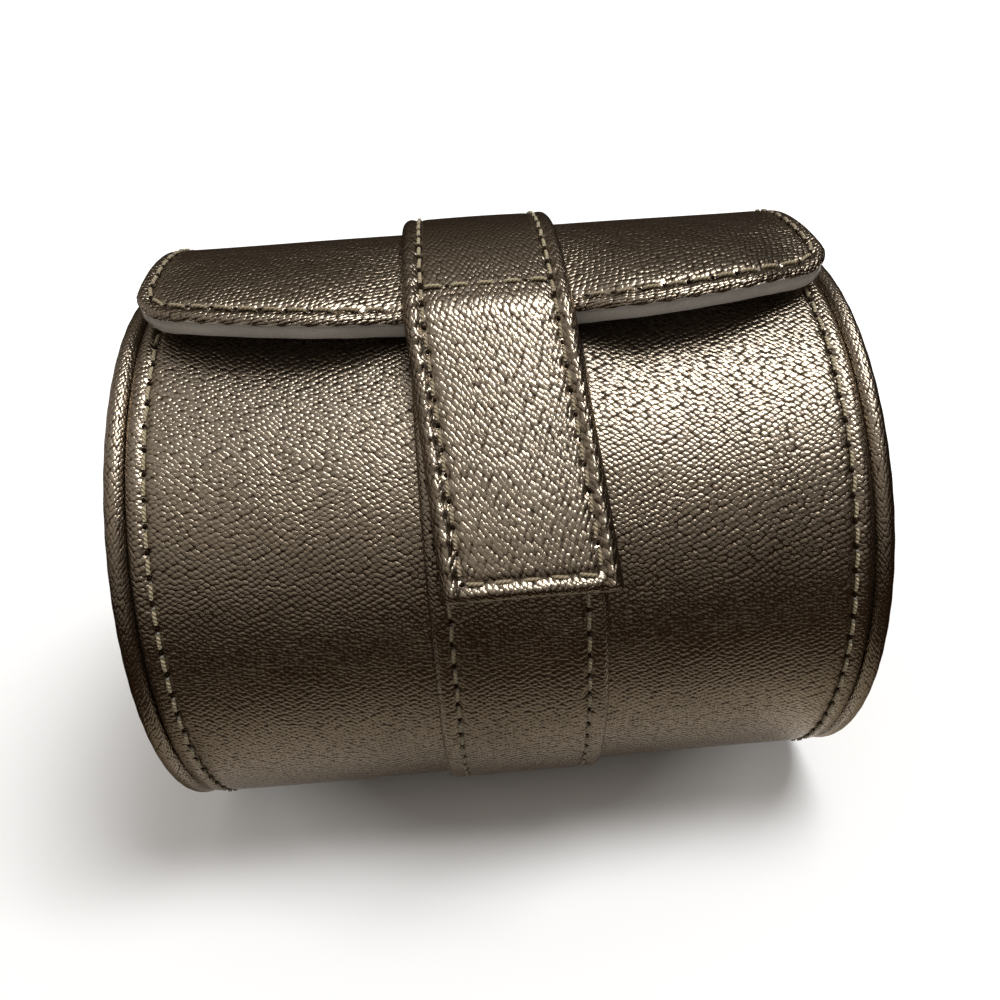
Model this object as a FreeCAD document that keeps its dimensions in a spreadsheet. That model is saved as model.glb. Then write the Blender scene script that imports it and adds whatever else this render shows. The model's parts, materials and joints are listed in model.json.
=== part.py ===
import FreeCAD, Part
import math
import os
import Sketcher

# A small cylindrical travel case for one watch. It lies on its side: a round tube, stiff board
# covered in leather outside and soft lining inside, closed at both ends by capped discs. A curved
# flap hinged on a leather fold at the back covers the mouth in the top of the tube. A strap sewn
# across the flap snaps onto a fixed band on the front. A soft pillow inside holds the watch.
#
# Row frame: +X along the tube, -Y to the front, +Z up, origin on the resting surface under the
# middle of the tube. Millimetres and degrees.
#
# Most pieces are drawn in the roll frame: its Z runs along the tube, its X points to the front
# and its Y points up, so an angle about Z is 0 at the front and grows over the top to the back.

doc = FreeCAD.newDocument("watch_travel_case")

SIZES = [
    # the tube, from outside to inside
    ("body_length", 92.8),
    ("shell_radius", 38),
    ("cover_thickness", 0.9),
    ("board_thickness", 2),
    ("lining_thickness", 0.9),
    ("lip_angle", 76),
    ("back_angle", 181.2),
    # the end caps: a rolled rim, a covered board and an inner lined board
    ("rim_width", 2.6),
    ("face_inset", 0.2),
    ("groove_width", 0.3),
    ("end_cover_thickness", 0.8),
    ("plug_thickness", 1.4),
    ("end_lining_thickness", 0.8),
    ("fit_gap", 0.1),
    # the fixed band round the tube, and the strip of flap leather sewn on below the hinge
    ("band_width", 21.3),
    ("band_thickness", 0.9),
    ("band_shift", 0.8),
    ("band_top_angle", 70),
    ("band_back_gap", 0.5),
    ("foot_depth", 0.5),
    ("strip_height", 7.2),
    # the flap: a leaf bent round a raised centre, so that its front clears the band on the tube
    ("flap_rise", 3.2),
    ("flap_gap", 0.2),
    ("flap_end_gap", 0.4),
    ("flap_cover_thickness", 0.9),
    ("flap_board_thickness", 0.6),
    ("flap_lining_thickness", 1.9),
    ("flap_lining_inset", 0.2),
    ("flap_corner", 6.5),
    ("flap_front_radius", 200),
    ("flap_front_angle", 55.6),
    ("flap_back_gap", 1.4),
    ("trim_angle", 8),
    # the strap
    ("strap_width", 20.4),
    ("strap_cover_thickness", 1),
    ("strap_lining_thickness", 0.8),
    ("strap_gap", 0.5),
    ("strap_lift", 0.2),
    ("strap_end_angle", 11),
    ("strap_skew", 4.2),
    ("strap_back_angle", 166),
    # the snap under the strap
    ("snap_angle", 23),
    ("snap_radius", 4.8),
    ("socket_bore", 2.9),
    ("cap_thickness", 0.5),
    ("stud_base_radius", 3.6),
    ("stud_base_thickness", 0.4),
    ("stud_neck_radius", 1.7),
    ("stud_head_radius", 2.3),
    ("stud_head_height", 0.6),
    # the watch pillow
    ("pillow_end_gap", 2.1),
    ("pillow_radius", 23.5),
    ("pillow_crown", 1.2),
    ("pillow_cover_thickness", 1.2),
    ("pillow_end_thickness", 1.6),
    ("pillow_round", 0.9),
    ("pillow_gap", 0.3),
    # how far a cutting shape runs past what it cuts
    ("overrun", 2),
]

# Places and fits worked out from the sizes above.
WORKED = [
    ("half_length", "Sizes.body_length / 2"),
    ("cover_inner", "Sizes.shell_radius - Sizes.cover_thickness"),
    ("board_inner", "Worked.cover_inner - Sizes.board_thickness"),
    ("cavity_radius", "Worked.board_inner - Sizes.lining_thickness"),
    ("tube_half", "Worked.half_length - Sizes.rim_width"),
    ("cover_length", "2 * (Worked.tube_half - Sizes.groove_width)"),
    ("turn_angle", "Sizes.cover_thickness / Sizes.shell_radius * 180 / pi"),
    ("tube_start", "Sizes.back_angle - 360"),
    ("tube_sweep", "Sizes.lip_angle - Worked.tube_start"),
    ("band_radius", "Sizes.shell_radius + Sizes.band_thickness"),
    ("axis_height", "Worked.band_radius - Sizes.foot_depth"),
    ("strip_radius", "Sizes.shell_radius + Sizes.flap_cover_thickness"),
    ("strip_sweep", "Sizes.strip_height / Sizes.shell_radius * 180 / pi"),
    ("band_start", "Worked.tube_start + Worked.strip_sweep"
                   " + Sizes.band_back_gap / Sizes.shell_radius * 180 / pi"),
    ("rim_half", "Sizes.rim_width / 2"),
    ("rim_middle", "Sizes.shell_radius - Worked.rim_half"),
    ("end_face", "Worked.half_length - Sizes.face_inset"),
    ("end_board_face", "Worked.end_face - Sizes.end_cover_thickness"),
    ("end_board_radius", "Worked.rim_middle - Worked.rim_half - Sizes.fit_gap"),
    ("plug_radius", "Worked.cavity_radius - Sizes.fit_gap"),
    ("plug_face", "Worked.tube_half - Sizes.plug_thickness"),
    ("cavity_half", "Worked.plug_face - Sizes.end_lining_thickness"),
    ("flap_front_reach", "Worked.band_radius + Sizes.flap_gap"),
    ("flap_inner", "sqrt(Worked.flap_front_reach ^ 2"
                   " - (Sizes.flap_rise * cos(Sizes.flap_front_angle)) ^ 2)"
                   " - Sizes.flap_rise * sin(Sizes.flap_front_angle)"),
    ("flap_board_inner", "Worked.flap_inner + Sizes.flap_lining_thickness"),
    ("flap_board_outer", "Worked.flap_board_inner + Sizes.flap_board_thickness"),
    ("flap_radius", "Worked.flap_board_outer + Sizes.flap_cover_thickness"),
    ("flap_width", "2 * (Worked.tube_half - Sizes.flap_end_gap)"),
    ("flap_height", "Worked.axis_height + Sizes.flap_rise"),
    ("hinge_reach", "Worked.flap_radius - Sizes.flap_cover_thickness / 2"),
    ("hinge_turn", "180 + asin(Sizes.flap_rise / Worked.hinge_reach) / 1deg"),
    ("flap_start", "Sizes.flap_front_angle - Sizes.trim_angle"),
    ("flap_sweep", "Worked.hinge_turn - Worked.flap_start"),
    ("flap_back_angle", "Sizes.flap_back_gap / Worked.flap_radius * 180 / pi"),
    ("strap_thickness", "Sizes.strap_cover_thickness + Sizes.strap_lining_thickness"),
    ("strap_inner", "Worked.band_radius + Sizes.strap_gap"),
    ("strap_seam", "Worked.strap_inner + Sizes.strap_lining_thickness"),
    ("strap_outer", "Worked.strap_inner + Worked.strap_thickness"),
    ("strap_middle", "Worked.strap_inner + Worked.strap_thickness / 2"),
    ("fold_lift", "Worked.flap_radius + Sizes.strap_lift + Worked.strap_thickness / 2"),
    ("fold_front", "Worked.fold_lift * cos(Sizes.flap_front_angle)"),
    ("fold_up", "Sizes.flap_rise + Worked.fold_lift * sin(Sizes.flap_front_angle)"),
    ("fold_reach", "sqrt(Worked.fold_front ^ 2 + Worked.fold_up ^ 2)"),
    ("fold_angle", "atan2(Worked.fold_up; Worked.fold_front) / 1deg"),
    ("fold_drop", "acos(Worked.strap_middle / Worked.fold_reach) / 1deg"),
    ("strap_run", "sqrt(Worked.fold_reach ^ 2 - Worked.strap_middle ^ 2)"),
    ("strap_arc", "Worked.fold_angle - Worked.fold_drop - Sizes.strap_end_angle"),
    ("fold_clear", "asin((Worked.strap_thickness / 2 + Sizes.fit_gap) / Worked.flap_radius) / 1deg"),
    ("snap_turn", "Worked.fold_angle - Sizes.snap_angle"),
    ("snap_shift", "Worked.strap_middle * sin(Worked.snap_turn) * tan(Sizes.strap_skew)"),
    ("snap_hole", "Sizes.snap_radius + Sizes.fit_gap"),
    ("stud_base", "Worked.band_radius - Sizes.stud_base_thickness"),
    ("stud_top", "Worked.strap_seam - Sizes.fit_gap"),
    ("stud_head", "Worked.stud_top - Sizes.stud_head_height"),
    ("post_base", "Sizes.shell_radius + Sizes.fit_gap"),
    ("pillow_half", "Worked.cavity_half - Sizes.pillow_end_gap"),
    ("foam_half", "Worked.pillow_half - Sizes.pillow_end_thickness"),
    ("crown_radius", "(Worked.pillow_half ^ 2 + Sizes.pillow_crown ^ 2) / (2 * Sizes.pillow_crown)"),
    ("crown_drop", "Worked.crown_radius - Sizes.pillow_radius"),
    ("foam_crown", "Worked.crown_radius - Sizes.pillow_cover_thickness"),
    ("pillow_end_radius", "Sizes.pillow_radius - Sizes.pillow_crown - Sizes.pillow_cover_thickness"
                          " - Sizes.fit_gap"),
    ("pillow_height", "Worked.axis_height - Worked.cavity_radius + Sizes.pillow_radius"
                      " + Sizes.pillow_gap"),
]


def fill_sheet(name, rows, mark):
    """A sheet with one named row per size: plain numbers, or formulas where mark is an equals."""
    sheet = doc.addObject("Spreadsheet::Sheet", name)
    for row, (alias, content) in enumerate(rows, start=1):
        sheet.set(f"A{row}", alias)
        sheet.set(f"B{row}", f"{mark}{content}")
        sheet.setAlias(f"B{row}", alias)
    doc.recompute()
    return sheet


fill_sheet("Sizes", SIZES, "")
fill_sheet("Worked", [(alias, text.replace("Worked.", "")) for alias, text in WORKED], "=")
nodes = []

# How a sketch numbers its own axes, and the points of a line or an arc.
ACROSS, UPRIGHT = -1, -2
FIRST, LAST, CENTRE = 1, 2, 3


def value_of(sheet, alias):
    """The present value of a named size, as a plain number."""
    return float(doc.getObject(sheet).get(alias))


def bind(item, **formulas):
    """Tie properties of an object to formulas over the two sheets."""
    for prop, formula in formulas.items():
        item.setExpression(prop, formula)
    return item


def turned(angle, x="0", y="0", z="1"):
    """Text of a placement that turns by an angle about an axis through the origin."""
    turn = f"create(<<rotation>>; create(<<vector>>; {x}; {y}; {z}); {angle})"
    return f"create(<<placement>>; create(<<vector>>; 0; 0; 0); {turn})"


def moved(x="0", y="0", z="0"):
    """Text of a placement that moves without turning."""
    still = "create(<<rotation>>; create(<<vector>>; 0; 0; 1); 0)"
    return f"create(<<placement>>; create(<<vector>>; {x}; {y}; {z}); {still})"


# The roll frame stands on its side in the row frame: a third of a turn about the cube diagonal.
LYING = turned("120", "1", "-1", "-1")
ROLL = f"{moved(z='Worked.axis_height')} * {LYING}"
FLAP = f"{moved(z='Worked.flap_height')} * {LYING}"
STRAP = f"{ROLL} * {turned('Worked.fold_angle')}"


def node(label, item, placement):
    """Name a finished piece, put it in the row frame and list it for writing."""
    item.Label = label
    bind(item, Placement=placement)
    nodes.append(item)
    return item


def cylinder(name, radius, height, placement, sweep="360"):
    item = doc.addObject("Part::Cylinder", name)
    return bind(item, Radius=radius, Height=height, Angle=sweep, Placement=placement)


def cut(name, base, tool):
    item = doc.addObject("Part::Cut", name)
    item.Base = base
    item.Tool = tool
    return item


def common(name, base, tool):
    item = doc.addObject("Part::Common", name)
    item.Base = base
    item.Tool = tool
    return item


def fuse(name, *shapes):
    item = doc.addObject("Part::MultiFuse", name)
    item.Shapes = list(shapes)
    return item


def curved_sheet(name, inner, outer, start, sweep, length, shift="0"):
    """Part of a ring round the roll's axis, between two radii and through a sweep of angle."""
    place = f"{moved(z=f'({shift}) - ({length}) / 2')} * {turned(start)}"
    outside = cylinder(f"{name}_outside", outer, length, place, sweep)
    deep = f"({shift}) - ({length}) / 2 - Sizes.overrun"
    inside = cylinder(f"{name}_inside", inner, f"{length} + 2 * Sizes.overrun", moved(z=deep))
    return cut(f"{name}_sheet", outside, inside)


def radial(angle, distance, shift="0"):
    """Text of a placement whose Z leaves the roll's axis at an angle, starting at a distance."""
    return f"{turned(angle)} * {moved(x=distance, z=shift)} * {turned('90', '0', '1', '0')}"


def constrain(sketch, name, formula, *what):
    """Add a dimension to a sketch and tie it to a formula."""
    index = sketch.addConstraint(Sketcher.Constraint(*what))
    sketch.renameConstraint(index, name)
    sketch.setExpression(f"Constraints.{name}", formula)


def make_tube():
    """The tube: board between leather cover and soft lining, the cover turned over both edges."""
    board_length = "2 * Worked.tube_half"
    node("shell_board", curved_sheet(
        "shell_board", "Worked.board_inner", "Worked.cover_inner",
        "Worked.tube_start + Worked.turn_angle", "Worked.tube_sweep - 2 * Worked.turn_angle",
        board_length), ROLL)
    skin = curved_sheet("cover_skin", "Worked.cover_inner", "Sizes.shell_radius",
                        "Worked.tube_start", "Worked.tube_sweep", "Worked.cover_length")
    lip = curved_sheet("cover_lip", "Worked.board_inner", "Worked.cover_inner",
                       "Sizes.lip_angle - Worked.turn_angle", "Worked.turn_angle",
                       "Worked.cover_length")
    back = curved_sheet("cover_back", "Worked.board_inner", "Worked.cover_inner",
                        "Worked.tube_start", "Worked.turn_angle", "Worked.cover_length")
    node("shell_cover", fuse("shell_cover_solid", skin, lip, back), ROLL)
    node("shell_lining", curved_sheet(
        "shell_lining", "Worked.cavity_radius", "Worked.board_inner",
        "Worked.tube_start", "Worked.tube_sweep", board_length), ROLL)


def make_end(side, turn):
    """One end cap: rolled leather rim with its face, outer board, inner board and its lining."""
    place = f"{ROLL} * {turned(turn, '1', '0', '0')}"
    rim = doc.addObject("Part::Torus", f"{side}_rim")
    bind(rim, Radius1="Worked.rim_middle", Radius2="Worked.rim_half",
         Placement=moved(z="Worked.half_length - Worked.rim_half"))
    face = cylinder(f"{side}_face", "Worked.rim_middle", "Sizes.end_cover_thickness",
                    moved(z="Worked.end_board_face"))
    node(f"{side}_end_cover", fuse(f"{side}_end_cover_solid", rim, face), place)
    discs = {
        "end_board": ("Worked.end_board_radius", "Worked.tube_half", "Worked.end_board_face"),
        "end_plug": ("Worked.plug_radius", "Worked.plug_face", "Worked.tube_half"),
        "end_lining": ("Worked.plug_radius", "Worked.cavity_half", "Worked.plug_face"),
    }
    for piece, (radius, low, high) in discs.items():
        disc = cylinder(f"{side}_{piece}_solid", radius, f"{high} - {low}", moved())
        node(f"{side}_{piece}", disc, f"{place} * {moved(z=low)}")


def make_band():
    """The fixed band round the tube, flat where the case rests, with the hole for the snap."""
    shift = "-Sizes.band_shift"
    ring = curved_sheet("band_ring", "Sizes.shell_radius", "Worked.band_radius",
                        "Worked.band_start", "Sizes.band_top_angle - Worked.band_start",
                        "Sizes.band_width", shift)
    ground = doc.addObject("Part::Box", "band_ground")
    bind(ground, Length="2 * Worked.band_radius", Width="Sizes.overrun + Sizes.foot_depth",
         Height="Sizes.band_width + 2 * Sizes.overrun",
         Placement=moved("-Worked.band_radius",
                         "-Worked.axis_height - Sizes.overrun - Sizes.foot_depth",
                         "-Sizes.band_shift - Sizes.band_width / 2 - Sizes.overrun"))
    hole = cylinder("band_hole", "Sizes.stud_base_radius + Sizes.fit_gap",
                    "Sizes.band_thickness + 2 * Sizes.overrun",
                    radial("Sizes.snap_angle", "Sizes.shell_radius - Sizes.overrun",
                           "-Worked.snap_shift"))
    node("body_band", cut("body_band_solid", cut("band_resting", ring, ground), hole), ROLL)
    node("hinge_strip", curved_sheet(
        "hinge_strip", "Sizes.shell_radius", "Worked.strip_radius",
        "Worked.tube_start", "Worked.strip_sweep", "Worked.flap_width"), ROLL)


def make_stud():
    """The snap's fixed half: a headed stud on the band, and the post disc riveted behind it."""
    angle = "Sizes.snap_angle"
    shift = "-Worked.snap_shift"
    base = cylinder("stud_base", "Sizes.stud_base_radius", "Sizes.stud_base_thickness",
                    radial(angle, "Worked.stud_base", shift))
    neck = cylinder("stud_neck", "Sizes.stud_neck_radius", "Worked.stud_top - Worked.stud_base",
                    radial(angle, "Worked.stud_base", shift))
    head = doc.addObject("Part::Cone", "stud_head")
    bind(head, Radius1="Sizes.stud_head_radius", Radius2="Sizes.stud_neck_radius",
         Height="Sizes.stud_head_height", Placement=radial(angle, "Worked.stud_head", shift))
    node("snap_stud", fuse("snap_stud_solid", base, neck, head), ROLL)
    post = cylinder("snap_post_solid", "Sizes.stud_base_radius",
                    "Worked.stud_base - Worked.post_base", moved())
    node("snap_post", post, f"{ROLL} * {radial(angle, 'Worked.post_base', shift)}")


def flap_outline(name, inset):
    """A prism of the flap's outline, seen square on to its front edge and drawn in by an inset.

    The front edge is a shallow arc, lowest in the middle, and round corners join it to the sides.
    """
    front = value_of("Sizes", "flap_front_radius")
    corner = value_of("Sizes", "flap_corner")
    half = value_of("Worked", "flap_width") / 2
    back = value_of("Worked", "flap_radius") + value_of("Sizes", "overrun")
    drawn_in = value_of("Sizes", inset) if inset else 0
    lean = math.asin((half - corner) / (front - corner))
    middle_y = front - (front - corner) * math.cos(lean)
    side = half - drawn_in
    down = 1.5 * math.pi
    normal = FreeCAD.Vector(0, 0, 1)
    sketch = doc.addObject("Sketcher::SketchObject", f"{name}_sketch")

    def arc(x, y, radius, first, last):
        circle = Part.Circle(FreeCAD.Vector(x, y, 0), normal, radius)
        return sketch.addGeometry(Part.ArcOfCircle(circle, first, last))

    def line(x1, y1, x2, y2):
        ends = (FreeCAD.Vector(x1, y1, 0), FreeCAD.Vector(x2, y2, 0))
        return sketch.addGeometry(Part.LineSegment(*ends))

    bow = arc(0, front, front - drawn_in, down - lean, down + lean)
    right = arc(half - corner, middle_y, corner - drawn_in, down + lean, 2 * math.pi)
    right_side = line(side, middle_y, side, back)
    rear = line(side, back, -side, back)
    left_side = line(-side, back, -side, middle_y)
    left = arc(corner - half, middle_y, corner - drawn_in, math.pi, down - lean)
    ring = [
        ("Tangent", bow, LAST, right, FIRST),
        ("Tangent", right, LAST, right_side, FIRST),
        ("Coincident", right_side, LAST, rear, FIRST),
        ("Coincident", rear, LAST, left_side, FIRST),
        ("Tangent", left_side, LAST, left, FIRST),
        ("Tangent", left, LAST, bow, FIRST),
        ("Vertical", right_side),
        ("Vertical", left_side),
        ("Equal", right, left),
        ("PointOnObject", bow, CENTRE, UPRIGHT),
        ("Symmetric", rear, FIRST, rear, LAST, UPRIGHT),
    ]
    for rule in ring:
        sketch.addConstraint(Sketcher.Constraint(*rule))
    less = f" - Sizes.{inset}" if inset else ""
    constrain(sketch, "bow_radius", f"Sizes.flap_front_radius{less}",
              "Radius", bow, front - drawn_in)
    constrain(sketch, "bow_middle", "Sizes.flap_front_radius",
              "DistanceY", ACROSS, FIRST, bow, CENTRE, front)
    constrain(sketch, "corner_radius", f"Sizes.flap_corner{less}",
              "Radius", right, corner - drawn_in)
    twice = f" - 2 * Sizes.{inset}" if inset else ""
    constrain(sketch, "full_width", f"Worked.flap_width{twice}",
              "DistanceX", rear, LAST, rear, FIRST, 2 * side)
    constrain(sketch, "depth", "Worked.flap_radius + Sizes.overrun",
              "DistanceY", ACROSS, FIRST, rear, FIRST, back)
    prism = doc.addObject("Part::Extrusion", name)
    prism.Base = sketch
    prism.DirMode = "Custom"
    prism.Dir = normal
    prism.Solid = True
    bind(prism, LengthFwd="Worked.flap_radius + Sizes.overrun",
         LengthRev="Worked.flap_radius + Sizes.overrun",
         Placement=radial("Sizes.flap_front_angle", "0"))
    return prism


def make_flap():
    """The flap: stiff board, leather turned round its edge, lining, and the strap sewn on top."""
    full = flap_outline("flap_full_outline", "")
    inset = flap_outline("flap_board_outline", "flap_cover_thickness")
    soft = flap_outline("flap_lining_outline", "flap_lining_inset")
    board_sweep = "Worked.flap_sweep - Worked.flap_back_angle"
    leaf = curved_sheet("flap_leaf", "Worked.flap_board_inner", "Worked.flap_radius",
                        "Worked.flap_start", "Worked.flap_sweep", "Worked.flap_width")
    filling = curved_sheet("flap_filling", "Worked.flap_board_inner - Sizes.overrun",
                           "Worked.flap_board_outer", "Worked.flap_start",
                           "Worked.flap_sweep + Sizes.trim_angle", "Worked.flap_width")
    skin = cut("flap_skin", common("flap_whole", leaf, full),
               common("flap_inside", filling, inset))
    fold = cylinder("flap_fold", "Sizes.flap_cover_thickness / 2", "Worked.flap_width",
                    f"{turned('Worked.hinge_turn')}"
                    f" * {moved('Worked.hinge_reach', '0', '-Worked.flap_width / 2')}")
    node("flap_cover", fuse("flap_cover_solid", skin, fold), FLAP)
    board = curved_sheet("flap_board", "Worked.flap_board_inner", "Worked.flap_board_outer",
                         "Worked.flap_start", board_sweep, "Worked.flap_width")
    node("flap_board", common("flap_board_solid", board, inset), FLAP)
    lining = curved_sheet("flap_lining", "Worked.flap_inner", "Worked.flap_board_inner",
                          "Worked.flap_start", board_sweep, "Worked.flap_width")
    node("flap_lining", common("flap_lining_solid", lining, soft), FLAP)
    first = "Sizes.flap_front_angle + Worked.fold_clear"
    node("flap_strap", curved_sheet(
        "flap_strap", "Worked.flap_radius", "Worked.flap_radius + Worked.strap_thickness",
        first, f"Sizes.strap_back_angle - ({first})", "Sizes.strap_width"), FLAP)


def strap_layer(name, inner, outer, run):
    """One layer of the free strap: a straight run down from the fold, then round with the tube."""
    length = "Sizes.strap_width + 2 * Sizes.overrun"
    arc = curved_sheet(f"{name}_arc", inner, outer, "Sizes.strap_end_angle - Worked.fold_angle",
                       "Worked.strap_arc", length)
    flat = doc.addObject("Part::Box", f"{name}_flat")
    bind(flat, Length=f"{outer} - {inner}", Width=run, Height=length,
         Placement=f"{turned('-Worked.fold_drop')} * {moved(inner, '0', f'-({length}) / 2')}")
    return arc, flat


def strap_edges(name):
    """The strap's straight sides, turned a little about the fold so that its end leans aside."""
    sides = doc.addObject("Part::Box", name)
    long = "2 * Worked.fold_reach"
    corner = moved("-Worked.fold_reach", "-Worked.fold_reach", "-Sizes.strap_width / 2")
    place = f"{turned('Sizes.strap_skew', '1', '0', '0')} * {corner}"
    return bind(sides, Length=f"2 * ({long})", Width=long, Height="Sizes.strap_width",
                Placement=place)


def make_strap():
    """The free end of the strap with the snap's socket let into its underside."""
    angle = "-Worked.snap_turn"
    shift = "-Worked.snap_shift"
    arc, flat = strap_layer("strap_cover", "Worked.strap_seam", "Worked.strap_outer",
                            "Worked.strap_run")
    fold = cylinder("strap_fold", "Worked.strap_thickness / 2", "Sizes.strap_width",
                    moved("Worked.fold_reach", "0", "-Sizes.strap_width / 2"))
    cover = common("strap_cover_trimmed", fuse("strap_cover_whole", arc, flat, fold),
                   strap_edges("strap_cover_sides"))
    pocket = cylinder("cap_pocket", "Worked.snap_hole",
                      "Worked.strap_seam + Sizes.cap_thickness - Worked.strap_inner"
                      " + Sizes.overrun",
                      radial(angle, "Worked.strap_inner - Sizes.overrun", shift))
    node("strap_cover", cut("strap_cover_solid", cover, pocket), STRAP)
    arc, flat = strap_layer("strap_lining", "Worked.strap_inner", "Worked.strap_seam",
                            "Worked.strap_run - Worked.strap_thickness / 2")
    lining = common("strap_lining_trimmed", fuse("strap_lining_whole", arc, flat),
                    strap_edges("strap_lining_sides"))
    hole = cylinder("socket_hole", "Worked.snap_hole",
                    "Sizes.strap_lining_thickness + 2 * Sizes.overrun",
                    radial(angle, "Worked.strap_inner - Sizes.overrun", shift))
    node("strap_lining", cut("strap_lining_solid", lining, hole), STRAP)
    disc = cylinder("socket_disc", "Sizes.snap_radius", "Sizes.strap_lining_thickness",
                    radial(angle, "Worked.strap_inner", shift))
    bore = cylinder("socket_bore_cut", "Sizes.socket_bore",
                    "Sizes.strap_lining_thickness + 2 * Sizes.overrun",
                    radial(angle, "Worked.strap_inner - Sizes.overrun", shift))
    node("snap_socket", cut("snap_socket_solid", disc, bore), STRAP)
    cap = cylinder("snap_cap_solid", "Sizes.snap_radius", "Sizes.cap_thickness", moved())
    node("snap_cap", cap, f"{STRAP} * {radial(angle, 'Worked.strap_seam', shift)}")


def turned_body(label, outer, half, inner=""):
    """A barrel round the X axis: a crowned arc revolved, solid or with a second arc inside it."""
    body = doc.addObject("PartDesign::Body", f"{label}_body")
    plane = [p for p in body.Origin.OriginFeatures if p.Role == "XY_Plane"][0]
    sketch = body.newObject("Sketcher::SketchObject", f"{label}_profile")
    sketch.AttachmentSupport = [(plane, "")]
    sketch.MapMode = "FlatFace"
    reach = value_of("Worked", half)
    drop = value_of("Worked", "crown_drop")

    def crown(radius):
        bend = value_of("Worked", radius)
        lean = math.asin(reach / bend)
        circle = Part.Circle(FreeCAD.Vector(0, -drop, 0), FreeCAD.Vector(0, 0, 1), bend)
        upright = math.pi / 2
        index = sketch.addGeometry(Part.ArcOfCircle(circle, upright - lean, upright + lean))
        sketch.addConstraint(Sketcher.Constraint("PointOnObject", index, CENTRE, UPRIGHT))
        constrain(sketch, f"{radius}_bend", f"Worked.{radius}", "Radius", index, bend)
        constrain(sketch, f"{radius}_drop", "Worked.crown_drop",
                  "DistanceY", index, CENTRE, ACROSS, FIRST, drop)
        constrain(sketch, f"{radius}_right", f"Worked.{half}",
                  "DistanceX", ACROSS, FIRST, index, FIRST, reach)
        constrain(sketch, f"{radius}_left", f"Worked.{half}",
                  "DistanceX", index, LAST, ACROSS, FIRST, reach)
        rise = bend * math.cos(lean) - drop
        return index, rise

    def line(x1, y1, x2, y2):
        ends = (FreeCAD.Vector(x1, y1, 0), FreeCAD.Vector(x2, y2, 0))
        return sketch.addGeometry(Part.LineSegment(*ends))

    def join(*pairs):
        for first, first_end, second, second_end in pairs:
            what = ("Coincident", first, first_end, second, second_end)
            sketch.addConstraint(Sketcher.Constraint(*what))

    top, top_rise = crown(outer)
    if inner:
        under, under_rise = crown(inner)
        right = line(reach, under_rise, reach, top_rise)
        left = line(-reach, top_rise, -reach, under_rise)
        join((right, FIRST, under, FIRST), (right, LAST, top, FIRST),
             (left, FIRST, top, LAST), (left, LAST, under, LAST))
    else:
        right = line(reach, 0, reach, top_rise)
        left = line(-reach, top_rise, -reach, 0)
        base = line(-reach, 0, reach, 0)
        join((right, LAST, top, FIRST), (left, FIRST, top, LAST),
             (base, FIRST, left, LAST), (base, LAST, right, FIRST))
        sketch.addConstraint(Sketcher.Constraint("PointOnObject", base, FIRST, ACROSS))
        sketch.addConstraint(Sketcher.Constraint("PointOnObject", base, LAST, ACROSS))
    doc.recompute()
    spin = body.newObject("PartDesign::Revolution", f"{label}_spin")
    spin.Profile = sketch
    spin.ReferenceAxis = (sketch, ["H_Axis"])
    spin.Angle = 360
    doc.recompute()
    return body, spin


def make_pillow():
    """The watch pillow: foam barrel in a soft sleeve with rounded ends, and a disc in each end."""
    place = moved(z="Worked.pillow_height")
    foam, _ = turned_body("pillow_foam", "foam_crown", "foam_half")
    node("pillow_foam", foam, place)
    sleeve, spin = turned_body("pillow_cover", "crown_radius", "pillow_half", "foam_crown")
    widest = value_of("Sizes", "pillow_radius") - value_of("Sizes", "pillow_crown")
    edges = [f"Edge{number}" for number, edge in enumerate(spin.Shape.Edges, start=1)
             if edge.BoundBox.XLength < value_of("Sizes", "fit_gap")
             and edge.BoundBox.YLength > 2 * widest - value_of("Sizes", "fit_gap")]
    rounding = sleeve.newObject("PartDesign::Fillet", "pillow_cover_round")
    rounding.Base = (spin, edges)
    bind(rounding, Radius="Sizes.pillow_round")
    sleeve.Tip = rounding
    node("pillow_cover", sleeve, place)
    for side, turn in (("left", "-90"), ("right", "90")):
        disc = cylinder(f"pillow_{side}_end_solid", "Worked.pillow_end_radius",
                        "Sizes.pillow_end_thickness", moved())
        out = f"{turned(turn, '0', '1', '0')} * {moved(z='Worked.foam_half')}"
        node(f"pillow_{side}_end", disc, f"{place} * {out}")


def check():
    """Stop if any object failed or any piece is not one or more valid closed solids."""
    for item in doc.Objects:
        if "Invalid" in item.State or "Error" in item.State:
            raise RuntimeError(f"{item.Name} failed: {item.State}")
    for item in nodes:
        shape = item.Shape
        if shape.isNull() or not shape.isValid() or not shape.Solids:
            raise RuntimeError(f"{item.Label} has no valid solid")
        box = shape.BoundBox
        print(f"{item.Label}: {len(shape.Solids)} solid, {shape.Volume:.1f} mm3,"
              f" x {box.XMin:.2f}..{box.XMax:.2f}, y {box.YMin:.2f}..{box.YMax:.2f},"
              f" z {box.ZMin:.2f}..{box.ZMax:.2f}")


make_tube()
make_end("left", "0")
make_end("right", "180")
make_band()
make_stud()
make_flap()
make_strap()
make_pillow()
doc.recompute()
check()

for alias in ("axis_height", "hinge_turn", "hinge_reach", "fold_reach", "fold_angle", "fold_drop",
              "snap_shift", "cavity_radius", "cavity_half", "pillow_height", "flap_height"):
    print(f"{alias} = {value_of('Worked', alias):.4f}")

os.makedirs("parts", exist_ok=True)
for item in nodes:
    item.Shape.exportStep(f"parts/{item.Label}.step")
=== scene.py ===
# %% [markdown]
# # A watch travel case
# The case is a small round tube of board covered in embossed metallic leather. Two capped discs
# close its ends, a curved flap covers the mouth in its top, and a strap sewn over the flap snaps
# onto a band on the front. Inside lies a soft pillow for one watch.
#
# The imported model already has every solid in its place, so the first cell only loads it. The cells
# after it lay leather, thread and cloth over those solids, and then light them.

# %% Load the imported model
import json
import math

import bpy
import numpy as np
from mathutils import Matrix, Vector


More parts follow.
